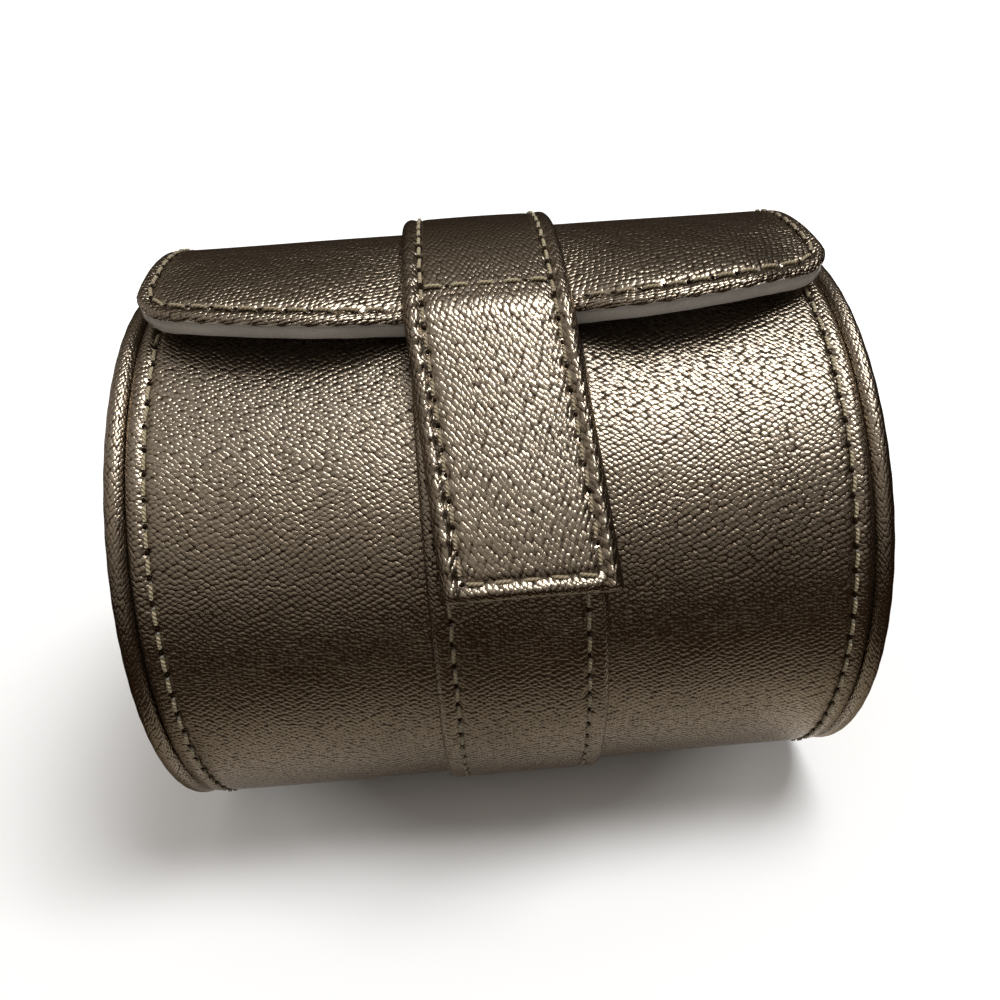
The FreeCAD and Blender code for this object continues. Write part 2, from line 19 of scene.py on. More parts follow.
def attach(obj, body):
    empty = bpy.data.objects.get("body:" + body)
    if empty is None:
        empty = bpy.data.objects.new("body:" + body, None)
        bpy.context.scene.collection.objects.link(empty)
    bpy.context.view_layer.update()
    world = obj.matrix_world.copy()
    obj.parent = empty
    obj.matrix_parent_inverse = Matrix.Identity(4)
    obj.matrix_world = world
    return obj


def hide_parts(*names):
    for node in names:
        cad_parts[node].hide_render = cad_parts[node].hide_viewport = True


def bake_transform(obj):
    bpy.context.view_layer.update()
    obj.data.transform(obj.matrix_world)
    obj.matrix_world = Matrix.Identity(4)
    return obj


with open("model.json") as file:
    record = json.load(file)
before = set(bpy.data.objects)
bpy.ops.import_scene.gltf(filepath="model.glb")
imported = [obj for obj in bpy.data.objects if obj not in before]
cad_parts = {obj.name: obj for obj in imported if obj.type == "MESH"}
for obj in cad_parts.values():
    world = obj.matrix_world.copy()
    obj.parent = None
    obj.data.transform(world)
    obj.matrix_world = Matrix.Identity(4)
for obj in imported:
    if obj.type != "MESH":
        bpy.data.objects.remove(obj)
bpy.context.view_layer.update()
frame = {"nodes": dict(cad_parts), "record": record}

nodes = frame["nodes"]
record = frame["record"]
joint_places = {joint["name"]: np.round(1000 * np.array(joint["pos_m"]), 4)
                for joint in record["behaviour"]["joints"] if "pos_m" in joint}
print("pieces in the model:", len(nodes))
print("hinge lines, in mm:", joint_places)


# %% [markdown]
# ## Two ways to say where a point is
# Nearly everything here is wrapped round a tube that lies on its side. It could be built from
# points in space, but a point on leather is easier to give as an angle round the tube and a
# distance from its middle line, with 0 degrees at the front and 90 on top. The flap bends round a
# middle line of its own, a little higher. Lengths are in millimetres until a mesh is made.

# %% Places round the tube
HINGE_Y, AXIS_HEIGHT = joint_places["flap_hinge"][1:]
FLAP_HEIGHT = AXIS_HEIGHT + 3.2


def round_tube(angle, radius, height=AXIS_HEIGHT):
    """(y, z) of points round a middle line: y = -radius cos(angle), z = height + radius sin(angle)."""
    turn = np.radians(angle)
    reach = np.broadcast_to(radius, turn.shape)
    return np.stack([-reach * np.cos(turn), height + reach * np.sin(turn)], axis=-1)


print("top of the tube:", round_tube(np.array(90.0), 38.0))


# %% [markdown]
# ## Meshes from grids
# A piece of leather is a sheet, so it can be worked out as a grid of points: one index runs across
# the piece and the other along it. A grid is quick to compute as a whole array, and its lines
# follow the piece, which a remeshed or sculpted surface would not give. The helpers below turn
# index grids into faces, give every face corner a place in millimetres on the flat hide for the
# grain to follow, and turn the faces outwards where the volume they enclose comes out negative.

# %% From grids to a mesh
def grid_faces(index, flat):
    """Four-cornered faces between neighbouring entries of index grids, and their corners' places."""
    corners = [index[..., :-1, :-1], index[..., 1:, :-1], index[..., 1:, 1:], index[..., :-1, 1:]]
    places = [flat[..., :-1, :-1, :], flat[..., 1:, :-1, :], flat[..., 1:, 1:, :],
              flat[..., :-1, 1:, :]]
    return np.stack(corners, axis=-1).reshape(-1, 4), np.stack(places, axis=-2).reshape(-1, 4, 2)


def enclosed_volume(points, parts):
    """Sum over fans of triangles of a . (b x c) / 6, in cubic millimetres."""
    total = 0.0
    for faces, _, _ in parts:
        for corner in range(1, faces.shape[1] - 1):
            a, b, c = (points[faces[:, k]] for k in (0, corner, corner + 1))
            total += np.einsum("ij,ij->", a, np.cross(b, c)) / 6
    return total


def bare_mesh(name, points, faces):
    """A mesh in metres from points in millimetres."""
    mesh = bpy.data.meshes.new(name)
    mesh.from_pydata((points / 1000).tolist(), [], faces)
    return mesh


def link_object(name, data):
    """Put a mesh, a lamp or a camera into the scene as a new object."""
    made = bpy.data.objects.new(name, data)
    bpy.context.scene.collection.objects.link(made)
    return made


def make_piece(name, points, parts):
    """A mesh object. parts holds (faces, places on the hide, number of the material)."""
    if enclosed_volume(points, parts) < 0:
        parts = [(faces[:, ::-1], flat[:, ::-1], slot) for faces, flat, slot in parts]
    mesh = bare_mesh(name, points, [face for group, _, _ in parts for face in group.tolist()])
    places = np.concatenate([flat.reshape(-1, 2) for _, flat, _ in parts])
    mesh.uv_layers.new(name="hide").uv.foreach_set("vector", places.ravel().astype(np.float32))
    slots = np.concatenate([np.full(len(group), slot) for group, _, slot in parts])
    mesh.polygons.foreach_set("material_index", slots.astype(np.int32))
    mesh.shade_smooth()
    print(f"{name}: {len(points)} points, {enclosed_volume(points, parts):.0f} cubic mm")
    return link_object(name, mesh)


# %% A sheet with two sides, and a turned shape
def sheet_parts(outer, inner, flat):
    """Points and parts of a closed sheet: an outer and an inner grid that share their border."""
    rows, columns = outer.shape[:2]
    front = np.arange(rows * columns).reshape(rows, columns)
    back = front.copy()
    within = np.zeros((rows, columns), bool)
    within[1:-1, 1:-1] = True
    back[within] = rows * columns + np.arange(within.sum())
    points = np.concatenate([outer.reshape(-1, 3), inner[within]])
    back_faces, back_flat = grid_faces(back, flat)
    return points, [(*grid_faces(front, flat), 0), (back_faces[:, ::-1], back_flat[:, ::-1], 1)]


def turned_parts(profile, sides, place, flat):
    """Points and parts of a profile turned round a line, with one point at each end of the line.

    profile holds (height along the line, radius) from pole to pole, place puts a (height, across,
    up) array where it belongs, and flat gives the places of the rings on the hide.
    """
    turn = np.linspace(0, 2 * np.pi, sides, endpoint=False)
    rings = profile[1:-1]
    height = np.repeat(rings[:, :1], sides, axis=1)
    ring = np.stack([height, rings[:, 1:] * np.cos(turn), rings[:, 1:] * np.sin(turn)], axis=-1)
    poles = np.array([[profile[0, 0], 0, 0], [profile[-1, 0], 0, 0]])
    points = place(np.concatenate([ring.reshape(-1, 3), poles]))
    index = np.arange(ring.shape[0] * sides).reshape(-1, sides)
    index = np.concatenate([index, index[:, :1]], axis=1)
    parts = [(*grid_faces(index, flat), 0)]
    for pole, line, order in ((0, 0, 1), (1, -1, -1)):
        tip = np.full(sides, len(ring) * sides + pole)
        fan = np.stack([tip, index[line, :-1], index[line, 1:]], axis=-1)[:, ::order]
        spot = np.stack([flat[line, :-1] * 0, flat[line, :-1], flat[line, 1:]], axis=1)
        parts.append((fan, spot[:, ::order], 0))
    return points, parts


# %% Rounded borders
def spread(first, last, step, rounding, marks=()):
    """Grid positions: close over a rounded border, even between, and closer round each mark."""
    edge = rounding * (1 - np.cos(np.linspace(0, np.pi / 2, 6)))
    count = int((last - first) / step) + 2
    middle = np.linspace(first + rounding, last - rounding, count)
    near = [mark + offset for mark in marks for offset in (-0.8, -0.5, -0.25, 0, 0.25, 0.5, 0.8)]
    inside = [place for place in near if first + rounding < place < last - rounding]
    return np.unique(np.concatenate([first + edge, middle, last - edge, inside]).round(4))


def rolled(distance, rounding):
    """Share of full height at a distance from the border: a quarter circle up, then level."""
    gone = np.clip(1 - distance / rounding, 0, 1)
    return np.sqrt(np.clip(1 - gone ** 2, 0, 1))


def over_border(flat, low, high, drop):
    """Places on the hide, pushed outwards from a box by how far the leather has come down there, so
    that the grain isn't stretched over a rolled edge."""
    inward = np.clip(flat, low, high) - flat
    reach = np.maximum(np.linalg.norm(inward, axis=-1, keepdims=True), 1e-6)
    return flat - inward / reach * drop[..., None]


print("border steps:", spread(0, 4, 1, 0.9)[:6])


# %% [markdown]
# ## A line to lay the leather along
# Seen from its side, each leather piece follows a line made of arcs and straight runs. The line
# could be a curve object with a bevel, but then the grain would not know how far along the hide it
# is. So the line is kept as points at even distances, with the length from its start and the
# direction that points away from the case. Smoothing it a little gives the soft bend that a thick
# leather takes where one arc meets the next.

# %% Paths
def run_length(points):
    """Length from a line's start to each of its points."""
    return np.concatenate([[0], np.cumsum(np.linalg.norm(np.diff(points, axis=0), axis=1))])


def between(at, length, values):
    """Pairs of values at lengths along a line."""
    return np.stack([np.interp(at, length, values[:, k]) for k in (0, 1)], axis=-1)


def make_path(points, soften, step=0.25):
    """Even points along a line of (y, z), softened by a running mean over a length in mm."""
    length = run_length(points)
    even = np.linspace(0, length[-1], int(length[-1] / step) + 1)
    line = between(even, length, points)
    half = int(soften / step)
    if half:
        before = line[0] + np.arange(-half, 0)[:, None] * (line[1] - line[0])
        after = line[-1] + np.arange(1, half + 1)[:, None] * (line[-1] - line[-2])
        padded = np.concatenate([before, line, after])
        window = np.ones(2 * half + 1) / (2 * half + 1)
        line = np.stack([np.convolve(padded[:, k], window, "valid") for k in (0, 1)], axis=-1)
    along = np.gradient(line, axis=0)
    along /= np.linalg.norm(along, axis=1, keepdims=True)
    out = np.stack([-along[:, 1], along[:, 0]], axis=-1)
    if np.sum(out * (line - [0, AXIS_HEIGHT])) < 0:
        out = -out
    length = run_length(line)
    return {"length": length, "line": line, "out": out, "total": length[-1]}


def on_path(path, distance):
    """Place (y, z) and outward direction at distances along a path."""
    return [between(distance, path["length"], path[what]) for what in ("line", "out")]


def raised(x, place, out, height):
    """Points at x across, with (y, z) raised from places along their outward directions."""
    return np.concatenate([x[..., None], place + out * np.asarray(height)[..., None]], axis=-1)


def arc(first, last, radius, height=AXIS_HEIGHT, step=0.3):
    """Points of an arc round a middle line, about a step apart."""
    count = int(abs(np.radians(last - first)) * radius / step) + 2
    return round_tube(np.linspace(first, last, count), radius, height)


print("points on a quarter of the tube:", len(arc(0, 90, 38.0)))


# %% [markdown]
# ## The tube's leather
# On the real case one piece of leather is glued round the board, and its edges are turned in at
# the mouth and tucked under the rims at both ends. A plain cylinder would show a sharp edge at the
# mouth, so the piece is a line that comes up out of the tube, rounds the edge of the board, goes
# round the tube and dives in again. A shallow dent runs under each row of stitches, and a few very
# slow waves keep the leather from looking machined.

# %% Tube leather
COVER = 0.9
TUBE_RADIUS = 38.0
UNDER_COVER = 37.1
TURNED_IN = (35.1, 35.8, 36.5, 36.95)
MOUTH_BACK = -178.8
MOUTH_FRONT = 76.0
BODY_ROUNDING = 1.3
BODY_SEAMS = (-41.4, 41.4)
TUBE_EDGE = 43.78
PITCH = 3.0


def pulled(along, first, last):
    """How hard a seam pulls along its line: 1 at every needle hole and 0.3 half way between."""
    pitch = (last - first) / max(1, round((last - first) / PITCH))
    return 0.65 + 0.35 * np.cos(2 * np.pi * (along - first) / pitch)


def slow_wave(x, s, size):
    """Gentle unevenness: three sine waves of different lengths and directions, added up."""
    return size * (np.sin(x / 9.1 + s / 23.0 + 0.7) + np.sin(x / 17.0 - s / 13.7 + 2.1)
                   + np.sin(x / 6.3 + s / 31.0 + 4.0)) / 3


def lay_leather(path, x, s, thickness, rounding, channels, ends, wave):
    """Outer and inner grids of a leather strip: its height above the path rises from nothing at the
    border to the full thickness in a quarter circle, less a dent along each stitching line."""
    across, along = np.meshgrid(x, s, indexing="ij")
    border = np.minimum(np.minimum(across - x[0], x[-1] - across),
                        np.minimum(along - s[0], s[-1] - along))
    height = thickness * rolled(border, rounding)
    flat = over_border(np.stack([across, along], axis=-1), (x[0] + 2, s[0] + 2),
                       (x[-1] - 2, s[-1] - 2), thickness - height)
    for line, depth, width in channels:
        dent = depth * np.exp(-((across - line) / width) ** 2) * pulled(along, *ends)
        height = height - dent * rolled(border, 3)
    height = height + slow_wave(across, along, wave) * rolled(border, 8)
    place, out = on_path(path, along)
    return raised(across, place, out, height), raised(across, place, out, 0.0), flat


mouth_in = [round_tube(np.array(MOUTH_BACK), r) for r in TURNED_IN]
mouth_out = [round_tube(np.array(MOUTH_FRONT), r) for r in TURNED_IN[::-1]]
round_board = arc(MOUTH_BACK + 0.4, MOUTH_FRONT - 0.4, UNDER_COVER)
body_path = make_path(np.concatenate([mouth_in, round_board, mouth_out]), 0.25, 0.1)
body_x = spread(-TUBE_EDGE, TUBE_EDGE, 1.2, BODY_ROUNDING, BODY_SEAMS)
body_s = spread(0, body_path["total"], 0.6, 0.5, (2.0, body_path["total"] - 2.0))
body_ends = (4.0, body_path["total"] - 4.0)
body_dents = [(seam, 0.42, 0.55) for seam in BODY_SEAMS]
body_grids = lay_leather(body_path, body_x, body_s, COVER, BODY_ROUNDING, body_dents, body_ends, 0.16)
tube_leather = make_piece("tube_leather", *sheet_parts(*body_grids))
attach(tube_leather, "case")
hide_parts("shell_cover")


# %% [markdown]
# ## The end caps
# Each end is a board disc with leather pulled over it, set inside a rolled rim. A turned shape
# fits a round cap best: its profile runs from the middle of the face out to a crease, over the
# round rim and back behind it. The crease is kept sharp and narrow, because the dark line between
# rim and face is what makes a cap read as two parts.

# %% End caps
FACE = 46.2
FACE_BOW = 0.12
BEHIND_FACE = 45.4
RIM_AT = 45.1
RIM_MIDDLE = 36.7
RIM_HALF = 1.3
CAP_SIDES = 240


def make_cap(side, sign):
    """One cap: the profile from the face's middle over the rim to behind the face."""
    face = [(FACE - FACE_BOW * math.cos(r / 35 * math.pi), r) for r in np.linspace(0.4, 34.6, 36)]
    crease = [(FACE, 34.95), (FACE - 0.2, 35.25), (FACE - 0.45, 35.42)]
    turn = np.radians(np.linspace(34, 300, 40))
    rim = [(RIM_AT + RIM_HALF * math.sin(t), RIM_MIDDLE - RIM_HALF * math.cos(t)) for t in turn]
    behind = [(44.6, 35.3), (45.3, 35.0)] + [(BEHIND_FACE, r) for r in (34.0, 20.0, 0.5, 0)]
    profile = np.array([(FACE - FACE_BOW, 0)] + face + crease + rim + behind)
    turn = np.linspace(0, 2 * np.pi, CAP_SIDES + 1)
    ring = profile[1:-1]
    on_face = np.stack([ring[:, 1:] * np.cos(turn), ring[:, 1:] * np.sin(turn)], axis=-1)
    on_rim = np.stack(np.broadcast_arrays(turn * RIM_MIDDLE, run_length(ring)[:, None]), axis=-1)
    flat = np.where((np.arange(len(ring)) < len(face) + 2)[:, None, None], on_face, on_rim)

    def place(points):
        wrinkle = 0.05 * np.sin(np.arctan2(points[:, 2], points[:, 1]) * 61)
        over_rim = np.clip(np.hypot(points[:, 1], points[:, 2]) - 36, 0, 1)
        x = sign * (points[:, 0] + wrinkle * over_rim * 0.5)
        return np.stack([x, points[:, 1], AXIS_HEIGHT + points[:, 2]], axis=-1)

    cap = make_piece(f"{side}_cap_leather", *turned_parts(profile, CAP_SIDES, place, flat))
    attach(cap, "case")
    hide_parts(f"{side}_end_cover")
    return cap


caps = [make_cap("left", -1), make_cap("right", 1)]


# %% [markdown]
# ## The band
# A band of folded leather goes round the front, bottom and back of the tube. It could be drawn as
# a raised stripe in the tube's leather, but the real one has edges of its own that catch the light.
# So it is a second strip on its own path, rounded at its edges and pulled down under each row of
# stitches. Where the case stands on it the band is pressed flat, so no point goes below the table.

# %% Band leather
BAND_BACK = -167.2
BAND_TOP = 70
BAND_LEFT = -9.85
BAND_RIGHT = 11.45
BAND_SEAMS = (-7.35, 8.95)


def on_table(points, least=0.0):
    """Raise to a height above the table whatever would reach below it."""
    pressed = points.copy()
    pressed[..., 2] = np.maximum(pressed[..., 2], least)
    return pressed


band_path = make_path(arc(BAND_BACK, BAND_TOP, TUBE_RADIUS), 0)
band_x = spread(BAND_LEFT, BAND_RIGHT, 0.5, COVER)
band_s = spread(0, band_path["total"], 0.6, COVER)
band_ends = (1.5, band_path["total"] - 1.0)
band_dents = [(seam, 0.45, 0.5) for seam in BAND_SEAMS]
outer, inner, flat = lay_leather(band_path, band_x, band_s, COVER + 0.12, COVER, band_dents,
                                 band_ends, 0.08)
band_leather = make_piece("band_leather", *sheet_parts(on_table(outer), on_table(inner), flat))
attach(band_leather, "case")
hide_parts("body_band")


# %% [markdown]
# ## The flap
# The flap is a curved board with leather over it. The leather is turned round the board's front
# and sides, and at the back it goes on alone, bends over the hinge line and is sewn to the tube.
# Its outline has round corners and a slightly bowed front, which a rectangular grid can't follow
# by itself. So the grid is stretched between four border lines: the front, two sides that each
# begin half way round a corner, and the back. Inner points are the usual blend of the four. The
# front gapes on both sides of the strap, and its right corner has been pulled out a little.

# %% Flap outline
FLAP_OUTER = 39.818
FLAP_FRONT_ANGLE = 55.6
FLAP_CORNER = 6.5
FLAP_BOW = 200.0
FLAP_HALF = 43.4
LEAF_END = 183.0
STRIP_START = 185.0
STRIP_END = 192.1
STRIP_RADIUS = 38.9
MIRRORED = np.array([-1, 1])


def flap_border(inset, radius, back):
    """The bowed front with half of each corner, and the right side from there to the back, in
    (across, along) mm. Along is measured on the curved leaf from the middle of the front edge, so a
    depth seen square on becomes radius times its arc sine."""
    centre_x = FLAP_HALF - FLAP_CORNER
    lean = math.asin(centre_x / (FLAP_BOW - FLAP_CORNER))
    centre_t = FLAP_BOW - (FLAP_BOW - FLAP_CORNER) * math.cos(lean)
    split = math.radians(-45)
    bow = np.linspace(0, lean, 60)
    corner = np.linspace(lean - math.pi / 2, split, 16)[1:]
    small = FLAP_CORNER - inset
    x = np.concatenate([(FLAP_BOW - inset) * np.sin(bow), centre_x + small * np.cos(corner)])
    t = np.concatenate([FLAP_BOW - (FLAP_BOW - inset) * np.cos(bow),
                        centre_t + small * np.sin(corner)])
    front = np.stack([np.concatenate([-x[:0:-1], x]), np.concatenate([t[:0:-1], t])], axis=-1)
    corner = np.linspace(split, 0, 16)
    side = np.stack([centre_x + small * np.cos(corner), centre_t + small * np.sin(corner)], axis=-1)
    for line in (front, side):
        line[:, 1] = radius * np.arcsin(line[:, 1] / radius)
    run = np.linspace(side[-1, 1], back, 90)[1:]
    return front, np.concatenate([side, np.stack([np.full(len(run), side[-1, 0]), run], axis=-1)])


print("each side starts at:", flap_border(0.0, FLAP_OUTER, 100.0)[1][0].round(2))


# %% A grid between four borders
def evenly(line, share):
    """Points at shares of a line's length."""
    length = run_length(line)
    return between(share * length[-1], length, line)


def rim_of(front, side):
    """Closely spaced points along the front and both sides."""
    share = np.linspace(0, 1, 500)
    right = evenly(side, share)
    return np.concatenate([evenly(front, share), right, right * MIRRORED])


def stretched_grid(front, side, back, across, along):
    """Grid between four borders: sides blended across, plus front and back blended along, less the
    blend of the four corners."""
    near = evenly(front, across)
    right = evenly(side, along)
    left = right * MIRRORED
    far = np.stack([np.interp(across, [0, 1], [left[-1, 0], right[-1, 0]]),
                    np.full(len(across), back)], axis=-1)
    u = across[:, None, None]
    v = along[None, :, None]
    borders = (1 - u) * left[None] + u * right[None] + (1 - v) * near[:, None] + v * far[:, None]
    corners = ((1 - u) * (1 - v) * near[0] + u * (1 - v) * near[-1]
               + (1 - u) * v * far[0] + u * v * far[-1])
    return borders - corners


def nearest_on(border, grid):
    """Shortest distance from each grid point to the points of a closely spaced line, and which
    point of the line that is. One row of the grid is worked out at a time, to save memory."""
    gaps = [np.linalg.norm(row[:, None] - border[None], axis=-1) for row in grid]
    return np.stack([gap.min(axis=1) for gap in gaps]), np.stack([gap.argmin(axis=1) for gap in gaps])


thirds = np.linspace(0, 1, 4)
print("coarse grid:", stretched_grid(*flap_border(0.0, FLAP_OUTER, 100.0), 100.0, thirds, thirds).shape)


# %% The flap's line
SAG_ANGLE = 5.0
SAG_ROOM = np.radians(SAG_ANGLE) * FLAP_OUTER
flap_line = np.concatenate([arc(FLAP_FRONT_ANGLE - SAG_ANGLE, LEAF_END, FLAP_OUTER, FLAP_HEIGHT),
                            arc(STRIP_START, STRIP_END, STRIP_RADIUS)])
flap_path = make_path(flap_line, 0.9)
flap_total = flap_path["total"] - SAG_ROOM
print(f"leather over the flap, front edge to sewn end: {flap_total:.1f} mm")


# %% How the flap has been bent
def flap_lift(plan):
    """How far the flap's front gapes: two bumps beside the strap that die out with the distance
    from the front edge, larger on the right."""
    right = 2.8 * np.exp(-((plan[..., 0] - 25) / 11.5) ** 4)
    left = 2.3 * np.exp(-((plan[..., 0] + 27) / 12.5) ** 4)
    return (right + left) * np.exp(-(np.maximum(plan[..., 1], 0) / 12) ** 2)


def flared(plan):
    """Places across the flap, with its front right corner pulled out sideways over the rim."""
    near_front = np.exp(-(np.maximum(plan[..., 1], 0) / 13) ** 2)
    return plan[..., 0] + 0.8 * np.clip((plan[..., 0] - 15) / 28, 0, 1) * near_front


print("gape at the front, left and right:", flap_lift(np.array([[-27, 0], [25, 0]])))


# %% The seam round the flap
BOARD_BACK = 182.6
BOARD_END = np.radians(BOARD_BACK - FLAP_FRONT_ANGLE) * FLAP_OUTER
FLAP_SEAM = 1.9
RING_POINTS = 1500
seam_front, seam_side = flap_border(FLAP_SEAM, FLAP_OUTER, BOARD_END - 3)
seam_ring = np.concatenate([(seam_side * MIRRORED)[::-1], seam_front[1:-1], seam_side])
seam_ring = evenly(seam_ring, np.linspace(0, 1, RING_POINTS))
seam_total = run_length(seam_ring)[-1]
print(f"seam round the flap: {seam_total:.1f} mm")


# %% Flap leather
def flap_dent(plan, from_rim):
    """Depth of the dent along the seam: a bell curve across it, deeper at every needle hole."""
    _, nearest = nearest_on(seam_ring, plan)
    pull = pulled(nearest / (RING_POINTS - 1) * seam_total, 0, seam_total)
    return 0.48 * pull * np.exp(-((from_rim - FLAP_SEAM) / 0.6) ** 2)


# Shares of the width and the length, closer together at the round corners.
across = np.unique(np.concatenate([spread(0, 1, 0.008, 0.02), np.linspace(0.022, 0.07, 9),
                                   np.linspace(0.93, 0.978, 9)]))
along = np.unique(np.concatenate([spread(0, 1, 0.008, 0.018), np.linspace(0.02, 0.06, 9)]))
front, side = flap_border(0.0, FLAP_OUTER, flap_total)
plan = stretched_grid(front, side, flap_total, across, along)
from_rim, _ = nearest_on(rim_of(front, side), plan)
border = np.minimum(from_rim, flap_total - plan[..., 1])
# Past the board's back edge the leather goes on alone, and a little thinner.
boarded = 1 / (1 + np.exp((plan[..., 1] - BOARD_END) / 0.45))
thick = COVER + 0.1 * boarded
height = thick * rolled(border, 0.9)
hide = over_border(plan, (-FLAP_HALF + 8, 8), (FLAP_HALF - 8, flap_total - 2), thick - height)
lift = -thick + height - flap_dent(plan, from_rim) * rolled(border, 1.5)
lift = lift + slow_wave(plan[..., 0], plan[..., 1], 0.12) * rolled(border, 6)
gape = flap_lift(plan)
place, out = on_path(flap_path, SAG_ROOM + plan[..., 1] - gape)
outer = raised(flared(plan), place, out, lift + gape)
inner = raised(flared(plan), place, out, gape - thick)
flap_leather = make_piece("flap_leather", *sheet_parts(outer, inner, hide))
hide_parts("flap_cover", "hinge_strip")
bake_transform(flap_leather)


# %% Flap lining
LINING_OUTER = 38.8
LINING_HALF = 1.19
LINING_BACK = 182.4
lining_back = np.radians(LINING_BACK - FLAP_FRONT_ANGLE) * LINING_OUTER
front, side = flap_border(0.1, LINING_OUTER, lining_back)
share = spread(0, 1, 0.02, 0.008)
plan = stretched_grid(front, side, lining_back, share, share)
back_rim = np.stack([np.linspace(-43, 43, 300), np.full(300, lining_back)], axis=-1)
from_edge, _ = nearest_on(np.concatenate([rim_of(front, side), back_rim]), plan)
gape = flap_lift(plan)
angle = FLAP_FRONT_ANGLE + np.degrees((plan[..., 1] - gape) / LINING_OUTER)
# The cut edge is never quite even: two sine waves multiplied make it thicker and thinner.
fuzz = 0.05 * np.sin(plan[..., 0] * 1.9) * np.sin(plan[..., 0] * 0.83 + 1)
soft = (LINING_HALF + fuzz) * rolled(from_edge, 0.45)
middle = LINING_OUTER - LINING_HALF + gape
faces_yz = [round_tube(angle, middle + turn * soft, FLAP_HEIGHT) for turn in (1, -1)]
outer, inner = [np.concatenate([flared(plan)[..., None], yz], axis=-1) for yz in faces_yz]
points, parts = sheet_parts(outer, inner, plan)
flap_lining = make_piece("flap_suede", points, [(faces, flat, 0) for faces, flat, _ in parts])
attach(flap_lining, "flap")
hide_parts("flap_lining", "flap_board")


# %% [markdown]
# ## The strap
# The strap is two layers of leather with folded edges. It is sewn flat on the flap, bends over the
# flap's front edge, runs straight for a short way and then follows the tube down to its free end,
# which stands off a little. As it is one strip on the real case, it is one mesh here. Below the
# fold it leans a little to one side, its folded edges stand up as ribs, and the leather puckers
# beside its seams.

# %% The strap's line
STRAP_HALF = 10.2
STRAP_THICK = 0.9
STRAP_RADIUS = 40.718
STRAP_SEWN_END = 166
STRAP_BEND = 56.5
BOX_ANGLE = 60.2
STRAP_FOLD = joint_places["strap_fold"][1:]
STRAP_LEAN = math.tan(math.radians(4.2))
STRAP_SEAM = 2.3
END_SEAM = 2.1
FREE_ANGLES = (35.56, 11)
FREE_REACH = 40.3
SNAP_ANGLE = 23.0
SNAP_X = 1.6965

# The free end stands off the tube by up to 3.1 mm, growing with the angle to the power 1.8.
free_angle = np.linspace(*FREE_ANGLES, 60)
standing_off = 3.1 * ((FREE_ANGLES[0] - free_angle) / (FREE_ANGLES[0] - FREE_ANGLES[1])) ** 1.8
strap_line = np.concatenate([arc(STRAP_SEWN_END, STRAP_BEND, STRAP_RADIUS, FLAP_HEIGHT), [STRAP_FOLD],
                             round_tube(free_angle, FREE_REACH + standing_off)])
strap_path = make_path(strap_line, 1.4)
strap_total = strap_path["total"]
strap_ends = (2.6, strap_total - 2.6)
box_at = np.radians(STRAP_SEWN_END - BOX_ANGLE) * STRAP_RADIUS
print(f"strap, from its sewn end to its free end: {strap_total:.1f} mm")


# %% Strap leather
def strap_lean(place):
    """Sideways shift below the fold: the drop along the fold's tangent times the lean, eased in."""
    fold = STRAP_FOLD - [0, AXIS_HEIGHT]
    tangent = np.array([-fold[1], fold[0]]) / np.hypot(*fold)
    drop = (place - [0, AXIS_HEIGHT]) @ tangent
    return STRAP_LEAN * (drop + np.sqrt(drop ** 2 + 4)) / 2


def bump_at(distance, middle, width):
    """A smooth bump of height 1 round a distance."""
    return np.exp(-((distance - middle) / width) ** 2)


def strap_relief(across, along):
    """Height of the strap's face over its plain thickness: a wrinkled rib along each folded edge,
    puckers beside the seams and a belly between them, less a dent along each seam. Where the strap
    is sewn flat on the flap, all but the dents are down to 0.3 of their height."""
    from_side = STRAP_HALF - np.abs(across)
    to_end = strap_total - along
    pull = pulled(along, *strap_ends)
    free = 0.3 + 0.7 / (1 + np.exp((box_at - along) / 1.5))
    wrinkle = 1 + 0.15 * np.sin(along * 2.1 + np.sign(across)) + 0.10 * np.sin(along * 3.7)
    rib = (0.34 + 0.12 * (1 - pull)) * wrinkle * free
    rib = rib * np.maximum(bump_at(from_side, 1.15, 0.7), 0.25 * bump_at(to_end, 1.1, 0.6))
    pucker = np.sin(along * 3.6 + across * 1.9) + 0.7 * np.sin(along * 5.3 - across * 2.6 + 1.0)
    pucker = 0.06 * free * pucker * bump_at(from_side, 1.9, 1.2)
    end_seam = 0.6 * bump_at(to_end, END_SEAM, 0.5) * (from_side > STRAP_SEAM - 0.4)
    dent = np.maximum(bump_at(from_side, STRAP_SEAM, 0.5) * pull, end_seam)
    dent = 0.50 * dent * rolled(np.minimum(along, to_end), 1)
    belly = 0.50 * free * np.cos(across / STRAP_HALF * np.pi / 2)
    return rib - dent + belly + pucker


strap_x = spread(-STRAP_HALF, STRAP_HALF, 0.32, STRAP_THICK)
strap_s = spread(0, strap_total, 0.32, STRAP_THICK)
across, along = np.meshgrid(strap_x, strap_s, indexing="ij")
from_end = np.minimum(along, strap_total - along)
border = np.minimum(STRAP_HALF - np.abs(across), from_end)
height = STRAP_THICK * rolled(border, STRAP_THICK)
place, out = on_path(strap_path, along)
# The two ends are rounded a little in plan too.
tip = np.clip(1 - from_end / 0.9, 0, 1)
narrow = 0.6 * (1 - np.sqrt(1 - tip ** 2))
x = across * (1 - narrow / STRAP_HALF) + strap_lean(place)
top = height + strap_relief(across, along) * rolled(border, 0.9)
